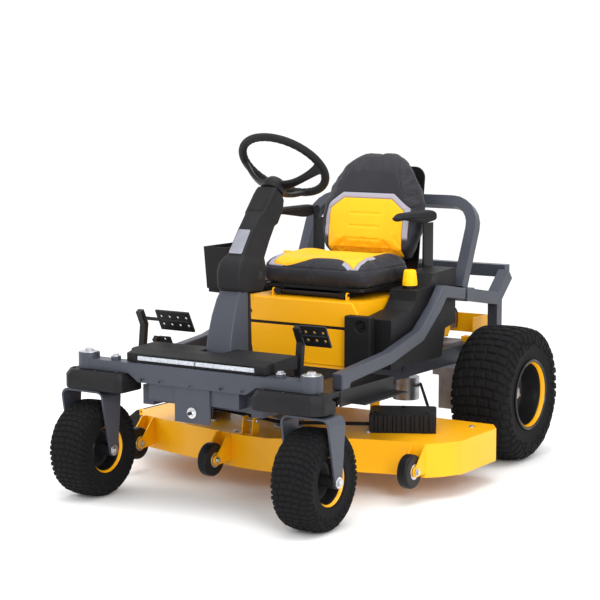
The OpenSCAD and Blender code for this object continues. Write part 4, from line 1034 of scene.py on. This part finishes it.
def sew(o, lines):
    """lines(points) gives (distance, depth, width) groups: points sink by depth where the distance is near 0."""
    n = len(o.data.vertices)
    co, no = np.zeros(n * 3), np.zeros(n * 3)
    o.data.vertices.foreach_get("co", co)
    o.data.vertex_normals.foreach_get("vector", no)
    co, no = co.reshape(-1, 3), no.reshape(-1, 3)
    sink = np.zeros(n)
    for distance, depth, width in lines(co):
        sink = np.maximum(sink, depth * np.exp(-(distance / width) ** 2))
    co -= no * sink[:, None]
    o.data.vertices.foreach_set("co", co.astype(np.float32).ravel())
    o.data.update()


def cushion_piece(name, shape, edge):
    """A closed form with rounded corners, ready to be filled with air."""
    o = welded(name, shape)
    bevel = o.modifiers.new("round", "BEVEL")
    bevel.width, bevel.segments, bevel.limit_method, bevel.angle_limit = edge, 4, "ANGLE", math.radians(40)
    apply_modifiers(o)
    return o


def finish_cushion(o, finish, stands_for):
    o.data.materials.clear()
    o.data.materials.append(finish.material)
    for face in o.data.polygons:
        face.use_smooth = True
    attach(o, "seat")
    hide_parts(stands_for)


# %% [markdown]
# ### Backrest
# The backrest is a tall shield with swept shoulders. Its sides wrap forward, so it is thicker at the edges than
# in the middle. Rings are stacked up its height, each one a squarish oval whose width follows the outline.

# %% Backrest
def raked_point(x, up, deep):
    """A point of the backrest: up its height, and deep behind its front face."""
    return Vector((x, back_foot.y + up * math.sin(RAKE) + deep * math.cos(RAKE),
                   back_foot.z + up * math.cos(RAKE) - deep * math.sin(RAKE)))


outline = [(0.0, 0.190), (0.05, 0.222), (0.11, 0.243), (0.17, 0.250), (0.24, 0.246), (0.30, 0.226), (0.345, 0.199),
           (0.39, 0.168), (0.425, 0.134), (0.448, 0.094), (0.456, 0.055)]
ups, halves = zip(*outline)
rings = []
for up in np.concatenate([[0.006, 0.012], np.linspace(0.025, 0.44, 40), [0.449, 0.4545]]):
    half = float(np.interp(up, ups, halves))
    thick = 0.5 * (0.142 - 0.062 * (up / 0.46) ** 2) * min(1, 0.55 + (0.458 - up) * 7) * min(1, 0.6 + up * 12)
    ring = []
    for u, v in oval(1, 1, 44, 3.4):
        wing = 0.014 * max(0, abs(u) - 0.55) / 0.45 * (1 - up / 0.5)
        ring.append(raked_point(u * (half - 0.006), up, 0.143 - thick + v * thick - (wing if v < 0.3 else 0)))
    rings.append(ring)
back = cushion_piece("seat_back_cover", Shape().rings(rings), 0.004)
inflate(back, 0.005, 0.010, 3.0)
refine(back)


def back_seams(p):
    side, up = back_place(np.abs(p[:, 0]), p[:, 1], p[:, 2])
    deep = (p[:, 1] - back_foot.y) * math.cos(RAKE) - (p[:, 2] - back_foot.z) * math.sin(RAKE)
    far = np.where(deep < FACE_DEEP, 0.0, 1.0)
    d = panel_distance(side, up, back_panel, np.maximum)
    lines = [(np.abs(d) + far, 0.0034, 0.0036), (np.abs(d - 0.023) + far + (up < 0.08) * 1.0, 0.0024, 0.0032)]
    for place in (0.075, 0.130, 0.185):
        crossing = np.abs(up - place) + np.maximum(0, side - 0.075) * 3
        lines.append((crossing + far, 0.0034, 0.0045))
    lines.append((np.abs(side - 0.098) + far + np.maximum(0, d + 0.004) * 4, 0.0022, 0.0035))
    shoulder = np.abs(side - 0.150 + (up - 0.30) * 0.35) + (up < 0.285) * 1.0
    lines.append((shoulder + far, 0.0026, 0.0036))
    lines.append((np.abs(deep - 0.106), 0.0030, 0.0034))
    return lines


sew(back, back_seams)
finish_cushion(back, back_vinyl, "seat_back")
print("backrest", len(back.data.vertices), "points")

# %% [markdown]
# ### Cushion
# The seat cushion is thick, with a rolled front edge and raised sides that hold the driver. Its lower half is a
# plain dark skirt. Rings are stacked from the skirt up over the roll to the crown, and the crown is a dished
# surface with two bolsters.

# %% Cushion
C_FRONT, C_BACK, C_LOW, C_TOP, C_HALF = -0.716, -0.310, 0.775, 0.868, 0.257
CROWN_SEAM, SKIRT_SEAM = 0.846, 0.786


def cushion_ring(inset, z, dish):
    x, y0, y1 = C_HALF - inset, C_FRONT + inset, C_BACK - inset
    points = rounded([(-x, y0 + 0.030), (-x + 0.075, y0), (x - 0.075, y0), (x, y0 + 0.030), (x, y1), (-x, y1)],
                     [0.06, 0.09, 0.09, 0.06, 0.075, 0.075], 8)
    ring = []
    for px, py in points:
        bolster = 0.016 * min(1, max(0, (abs(px) - 0.12) / 0.10)) * min(1, (py - y0) / 0.14)
        along = min(1, max(0, (py - C_FRONT) / (C_BACK - C_FRONT)))
        ring.append((px, py, z + dish * (bolster + 0.010 * math.sin(math.pi * along))))
    return ring


levels = [(0.022, C_LOW, 0), (0.008, C_LOW + 0.008, 0), (0.002, C_LOW + 0.028, 0), (0.0, C_LOW + 0.052, 0),
          (0.006, C_LOW + 0.074, 0.2), (0.020, C_TOP - 0.004, 0.6), (0.040, C_TOP + 0.002, 0.9),
          (0.075, C_TOP + 0.002, 0.9), (0.110, C_TOP - 0.001, 0.7), (0.150, C_TOP - 0.004, 0.5),
          (0.19, C_TOP - 0.005, 0.4)]
cushion = cushion_piece("seat_cushion_cover", Shape().rings([cushion_ring(*level) for level in levels]), 0.003)
inflate(cushion, 0.005, 0.011, 3.0)
refine(cushion)


def cushion_seams(p):
    side, back = np.abs(p[:, 0]), p[:, 1] - CUSHION_FRONT
    d = cushion_distance(p[:, 0], side, back, np.sin, np.maximum)
    low = np.where(p[:, 2] > CROWN_SEAM, 0.0, 1.0)
    lines = [(np.abs(d) + low, 0.0034, 0.0036), (np.abs(p[:, 2] - CROWN_SEAM), 0.0030, 0.0034),
             (np.abs(p[:, 2] - SKIRT_SEAM), 0.0018, 0.0030)]
    for place in (0.18, 0.235, 0.29, 0.345):
        lines.append((np.abs(back - place) + np.maximum(0, side - 0.11) * 3 + low, 0.0036, 0.0046))
    lines.append((np.abs(side - 0.128) + low + (d > -0.004) * 1.0, 0.0024, 0.0036))
    return lines


sew(cushion, cushion_seams)
finish_cushion(cushion, cushion_vinyl, "seat_cushion")
print("cushion", len(cushion.data.vertices), "points")

# %% [markdown]
# ## Armrests
# Each armrest is a soft integral-skin foam pad: flat on top, rounded everywhere, with a drooping nose and a deep
# root round the pivot. A side drawing gives the profile, and rings stacked through its width shrink towards both
# faces, which rounds all the edges at once.

# %% Armrests
ARM_Y, ARM_Z, ARM_X0, ARM_X1 = -0.236, 1.040, 0.2755, 0.3175
arm_side = rounded([(-0.300, 0.010), (-0.268, 0.029), (-0.02, 0.029), (0.022, 0.020), (0.022, -0.018),
                    (-0.058, -0.025), (-0.235, -0.001), (-0.290, -0.004)],
                   [0.012, 0.03, 0.03, 0.02, 0.02, 0.02, 0.05, 0.01], 5)
for side, s in SIDES:
    rings = []
    middle = Vector((-0.13, 0.006))
    for share in (0.0, 0.04, 0.14, 0.3, 0.5, 0.7, 0.86, 0.96, 1.0):
        shrink = 0.0088 * (abs(share - 0.5) * 2) ** 3.2
        ring = []
        count = len(arm_side)
        for i, (u, v) in enumerate(arm_side):
            a, b = Vector(arm_side[i - 1]), Vector(arm_side[(i + 1) % count])
            n = Vector(((b - a).y, -(b - a).x)).normalized()
            if n.dot(Vector((u, v)) - middle) < 0:
                n = -n
            ring.append((s * (ARM_X0 + (ARM_X1 - ARM_X0) * share), ARM_Y + u - n.x * shrink, ARM_Z + v - n.y * shrink))
        rings.append(ring)
    pad = piece(f"armrest_pad_{side}", Shape().rings(rings), soft_grip, f"armrest_{side}",
                stands_for=f"armrest_{side}")
print("armrests")


# %% [markdown]
# ## Body panels
# The seat box is two yellow pressings with a dark joint between them. The lid has cut-off corners and a slight
# slope, and each pressing has turned-in edges. Plates a little thicker than paint are laid over the plain solids,
# and a black strip between them is the joint.

# %% Body panels
PANEL_Y = -0.762
lid = Shape()
lid_outline = [(-0.264, 0.628), (0.264, 0.628), (0.264, 0.684), (0.236, 0.7265), (-0.236, 0.7265), (-0.264, 0.684)]
lid.rings([[(x * k, PANEL_Y - y, z if z < 0.7 or k == 1 else z - 0.002) for x, z in lid_outline]
           for y, k in ((-0.001, 1), (0.006, 1), (0.0095, 0.988))])
piece("lid_front", lid, yellow_paint, "chassis", edge=0.0025)
lower = Shape().slab(rounded([(-0.258, 0.470), (0.258, 0.470), (0.258, 0.616), (-0.258, 0.616)], 0.008, 3),
                     PANEL_Y - 0.007, PANEL_Y + 0.001, ALONG)
piece("panel_front", lower, yellow_paint, "chassis", edge=0.0022)
joint = Shape().block((-0.262, PANEL_Y - 0.002, 0.614), (0.262, PANEL_Y + 0.004, 0.630))
piece("panel_joint", joint, black_steel, "chassis")
bolts = Shape()
for x, z in ((-0.250, 0.665), (0.250, 0.665)):
    bolts.turned([(0.0, 0), (0.0085, 0), (0.0085, 0.003), (0.005, 0.006), (0, 0.006)], 20,
                 at(x, PANEL_Y - 0.0085, z, FORWARD))
piece("panel_bolts", bolts, black_steel, "chassis", edge=0.0006)
print("body panels")

# %% [markdown]
# ## Consoles, bin and filler cap
# The left console carries a round dial, and a yellow tray lies in the bin on the right. The filler cap is a tall
# yellow moulding with flutes for the fingers: its section is a circle whose radius waves, stacked in rings that
# narrow upwards.

# %% Consoles
dial = Shape().turned([(0.0, 0.004), (0.0085, 0.004), (0.0095, -0.004), (0.020, -0.002), (0.0215, -0.010),
                       (0.0215, -0.0135), (0.0, -0.0135)], 40,
                      at(0.296, -0.806, 0.640, FORWARD))
piece("console_dial", dial, smooth_plastic, "chassis", edge=0.0008)
cap_x, cap_y, cap_z = (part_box("fuel_cap")[0].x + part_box("fuel_cap")[1].x) / 2, -0.490, 0.7785
rings = []
for h, r, flute in ((0.0, 0.0305, 0.3), (0.006, 0.031, 0.6), (0.02, 0.0300, 1), (0.045, 0.0268, 1), (0.056, 0.0255, 1),
                    (0.0615, 0.0235, 0.8), (0.0632, 0.0205, 0.3)):
    rings.append([(cap_x + (r - 0.0016 * flute * (1 - abs(math.sin(5 * a)))) * math.cos(a),
                   cap_y + (r - 0.0016 * flute * (1 - abs(math.sin(5 * a)))) * math.sin(a), cap_z + h)
                  for a in [2 * math.pi * k / 120 for k in range(120)]])
piece("filler_cap", Shape().rings(rings), yellow_plastic, "fuel_cap", stands_for="fuel_cap")
neck = Shape().turned([(0.0205, -0.028), (0.0205, 0.0), (0, 0.0), (0, -0.028)], 40, at(cap_x, cap_y, cap_z))
piece("filler_plug", neck, black_plastic, "fuel_cap")
bin_tray = Shape().block((-0.398, -0.852, 0.7665), (-0.298, -0.700, 0.772))
piece("bin_liner", bin_tray, yellow_plastic, "chassis", edge=0.002)
print("consoles and filler cap")

# %% [markdown]
# ## Foot platform
# The platform is covered by a rubber mat. Two columns of raised bars, one for each foot, keep boots from slipping.

# %% Foot platform
mat = Shape().block((-0.262, -1.395, 0.4605), (0.262, -0.812, 0.4635))
for k in range(22):
    y = -1.382 + k * 0.026
    for x0, x1 in ((-0.255, -0.060), (0.060, 0.255)):
        mat.block((x0, y, 0.4630), (x1, y + 0.011, 0.4662))
piece("floor_mat", mat, belt_rubber, "chassis", edge=0.0008)
print("floor mat")

# %% [markdown]
# ## Mowing deck fittings
# The deck is a welded shell. Its spindles are bolted on from above, the rollers turn on zinc bolts, and the belt
# covers are ribbed and screwed down. At the front a pair of yellow ears with a zinc pin carries the deck.

# %% Deck fittings
DECK_TOP, GAP, SPINDLE_Y = 0.222, 0.451, (-0.625, -0.865, -0.740)
rollers = {"left": (GAP + 0.148, SPINDLE_Y[0] - 0.316, 0.126), "centre": (-0.150, SPINDLE_Y[1] - 0.328, 0.130),
           "right": (-GAP - 0.150, SPINDLE_Y[2] - 0.352, 0.126)}
for name, centre in rollers.items():
    hubs = Shape()
    for t in (1, -1):
        place = out_of(centre, t)
        hubs.turned([(0.0, 0.0340), (0.0150, 0.0340), (0.0150, 0.0360), (0.0, 0.0360)], 24, place)
        hubs.slab(hexagon(0.0105), 0.0355, 0.0425, place)
        hubs.turned([(0.030, 0.0219), (0.030, 0.0236), (0.014, 0.0236), (0.014, 0.0219)], 32, place, closed=True)
    piece(f"roller_bolt_{name}", hubs, zinc, "deck", edge=0.0008)
fittings = Shape()
for i in range(3):
    place = at((1 - i) * GAP, SPINDLE_Y[i], DECK_TOP + 0.012)
    for k in range(4):
        a = math.pi / 4 + k * math.pi / 2
        fittings.slab(hexagon(0.0085), 0, 0.006,
                      place @ Matrix.Translation((0.052 * math.cos(a), 0.052 * math.sin(a), 0)))
for x, y in ((0.62, -0.47), (0.33, -0.80), (0.10, -1.04), (-0.12, -1.06), (-0.32, -0.93), (-0.62, -0.60),
             (0.0, -0.66)):
    fittings.slab(hexagon(0.0085), 0, 0.006, at(x, y, DECK_TOP))
    fittings.turned([(0.014, 0), (0.014, 0.0016), (0, 0.0016), (0, 0)], 20, at(x, y, DECK_TOP))
piece("deck_bolts", fittings, zinc, "deck", edge=0.0008)
for side, s, y in (("left", 1, SPINDLE_Y[0]), ("right", -1, SPINDLE_Y[2])):
    turn = Matrix.Rotation(math.radians(28), 4, "Z")
    place = Matrix.Scale(s, 4, (1, 0, 0)) @ at(GAP - 0.115, y - 0.176, DECK_TOP, turn)
    trim = Shape()
    for k in range(7):
        trim.rings([[place @ Vector((0.018 + 0.036 * k + dx, dy, z)) for dx, dy in
                     ((0, 0.001), (0.0055, -0.0052), (0.0135, -0.0052), (0.019, 0.001))] for z in (0.006, 0.069)])
    lid_edge = rounded([(0.004, 0.004), (0.260, 0.004), (0.260, 0.186), (0.004, 0.186)], 0.012, 4)
    trim.rings([[place @ Vector((u, v, z)) for u, v in lid_edge] for z in (0.0725, 0.0765)])
    for u, v in ((0.03, 0.03), (0.234, 0.03), (0.132, 0.155)):
        trim.turned([(0.010, 0.076), (0.010, 0.079), (0.006, 0.082), (0, 0.082)], 16,
                    place @ Matrix.Translation((u, v, 0)))
    piece(f"belt_cover_ribs_{side}", trim, black_plastic, "deck", edge=0.0012)
hanger = Shape().block((-0.082, -1.090, 0.2215), (-0.022, -1.034, 0.2255))
for x in (-0.078, -0.031):
    hanger.slab(rounded([(-1.088, 0.222), (-1.036, 0.222), (-1.042, 0.290), (-1.078, 0.290)], 0.008, 4),
                x, x + 0.005, ACROSS)
piece("deck_hanger", hanger, yellow_paint, "deck", edge=0.0012)
hanger_pin = Shape().turned([(0.0, -0.036), (0.0055, -0.036), (0.0055, 0.036), (0.0, 0.036)], 20,
                            out_of((-0.052, -1.060, 0.274), 1))
for t in (1, -1):
    hanger_pin.slab(hexagon(0.010), 0.0290, 0.0355, out_of((-0.052, -1.060, 0.274), t))
piece("deck_hanger_pin", hanger_pin, zinc, "deck", edge=0.0006)
print("deck fittings")

# %% [markdown]
# ## Engine bay
# From behind, the engine shows: a plastic shroud with a round screen and slots, two finned cylinders in a V, a
# canister filter, and the exhaust under a slotted shield. Fins are thin plates stacked along each cylinder's axis.

# %% Engine bay
ENGINE_Y = 0.090
screen_centre = (0, ENGINE_Y - 0.010, 0.7995)
SLOT_LOW, SLOT_TOP = 0.683, 0.722
fins = Shape()
for s in (1, -1):
    lean = at(s * 0.060, ENGINE_Y - 0.020, 0.560, Matrix.Rotation(s * math.radians(55), 4, "Y"))
    for k in range(9):
        fins.slab(rounded([(-0.056, -0.062), (0.056, -0.062), (0.056, 0.062), (-0.056, 0.062)], 0.012, 3),
                  0.030 + k * 0.0125, 0.033 + k * 0.0125, lean)
    fins.slab(rounded([(-0.044, -0.050), (0.044, -0.050), (0.044, 0.050), (-0.044, 0.050)], 0.014, 4),
              0.149, 0.163, lean)
piece("cylinder_fins", fins, engine_alloy, "chassis", edge=0.0006)
screen = Shape()
for k in range(7):
    r = 0.022 + k * 0.0115
    screen.turned([(r, 0.0), (r, 0.006), (r + 0.005, 0.006), (r + 0.005, 0.0)], 56,
                  at(*screen_centre), closed=True)
for k in range(12):
    a = 2 * math.pi * k / 12
    screen.slab([(0.008, -0.002), (0.094, -0.002), (0.094, 0.002), (0.008, 0.002)], 0.0, 0.0045,
                at(*screen_centre, Matrix.Rotation(a, 4, "Z")))
screen.turned([(0.018, 0), (0.018, 0.010), (0.012, 0.014), (0, 0.014)], 32, at(*screen_centre))
piece("engine_screen", screen, smooth_plastic, "chassis", edge=0.0006)
slots = Shape()
for s in (1, -1):
    for k in range(6):
        y = ENGINE_Y - 0.100 + k * 0.032
        slots.block((s * 0.1745, y, SLOT_LOW), (s * 0.1775, y + 0.014, SLOT_TOP))
for k in range(8):
    x = -0.150 + k * 0.039
    slots.block((x, ENGINE_Y + 0.1095, SLOT_LOW), (x + 0.018, ENGINE_Y + 0.1125, SLOT_TOP))
piece("shroud_slots", slots, black_steel, "chassis", edge=0.0008)
shield = Shape()
bend = [(0.291, 0.500), (0.2955, 0.522), (0.2965, 0.545), (0.2925, 0.572), (0.276, 0.588), (0.252, 0.5925)]
for a, b in zip(bend, bend[1:]):
    for k in range(9):
        x = -0.148 + k * 0.0335
        shield.slab([(a[0] - 0.0015, a[1]), (a[0] + 0.001, a[1]), (b[0] + 0.001, b[1]), (b[0] - 0.0015, b[1])],
                    x, x + 0.028, ACROSS)
outlet = Shape().turned([(0.017, 0), (0.017, 0.045), (0.0145, 0.045), (0.0145, 0.0)], 28,
                        at(0.110, 0.262, 0.505, Matrix.Rotation(math.radians(150), 4, "X")), closed=True)
piece("exhaust_shield", shield, exhaust_steel, "chassis")
piece("exhaust_outlet", outlet, exhaust_steel, "chassis", edge=0.0005)
oil = Shape().turned([(0, 0.0), (0.034, 0.0), (0.038, 0.006), (0.038, 0.070), (0.030, 0.078), (0, 0.078)], 40,
                     at(0.120, ENGINE_Y + 0.01, 0.520, Matrix.Rotation(math.pi / 2, 4, "Y")))
piece("oil_filter", oil, yellow_plastic, "chassis", edge=0.001)
print("engine bay")

# %% [markdown]
# ## Drive units and hoses
# Each rear wheel has its own hydraulic drive with a cooling fan, ribs and a rubber hose to the tank. The hoses are
# fixed at both ends and sag between them, so they are swept along a smooth line through a few points.

# %% Drive units
drive, fans, hoses = Shape(), Shape(), Shape()
for s in (1, -1):
    for k in range(6):
        y = -0.066 + k * 0.0262
        drive.block((s * 0.262, y - 0.003, 0.205), (s * 0.380, y + 0.003, 0.3465))
    hub = at(s * 0.315, 0.0, 0.3445)
    fans.turned([(0, 0), (0.016, 0), (0.016, 0.020), (0, 0.020)], 24, hub)
    for k in range(9):
        blade = hub @ Matrix.Rotation(2 * math.pi * k / 9, 4, "Z") @ Matrix.Translation((0.036, 0, 0.010)) @ \
            Matrix.Rotation(math.radians(32), 4, "X")
        fans.slab([(-0.022, -0.009), (0.024, -0.013), (0.024, 0.013), (-0.022, 0.009)], -0.0011, 0.0011, blade)
    line = curve_through([(s * 0.335, 0.070, 0.300), (s * 0.335, 0.102, 0.310), (s * 0.300, 0.125, 0.350),
                          (s * 0.215, 0.135, 0.372), (s * 0.150, 0.120, 0.400), (s * 0.118, 0.100, 0.470)], 8)
    hoses.swept(line, oval(0.0085, 0.0085, 14))
piece("drive_ribs", drive, engine_alloy, "chassis", edge=0.001)
piece("drive_fans", fans, smooth_plastic, "chassis", edge=0.0004)
piece("drive_hoses", hoses, belt_rubber, "chassis")
print("drive units")


# %% [markdown]
# ## Floor
# A plain pale floor carries the soft shadow.

# %% Floor
floor_mesh = bpy.data.meshes.new("floor")
floor_mesh.from_pydata([(-40, -40, 0), (40, -40, 0), (40, 60, 0), (-40, 60, 0)], [], [(0, 1, 2, 3)])
floor = bpy.data.objects.new("floor", floor_mesh)
scene.collection.objects.link(floor)
floor_finish = Finish("pale_floor")
floor_tone = floor_finish.noise(0.6, 2)
floor_finish.use(base_color=floor_finish.blend(floor_tone, (0.985, 0.985, 0.986), (0.975, 0.975, 0.977)),
                 roughness=floor_tone * 0.1 + 0.75)
floor_mesh.materials.append(floor_finish.material)
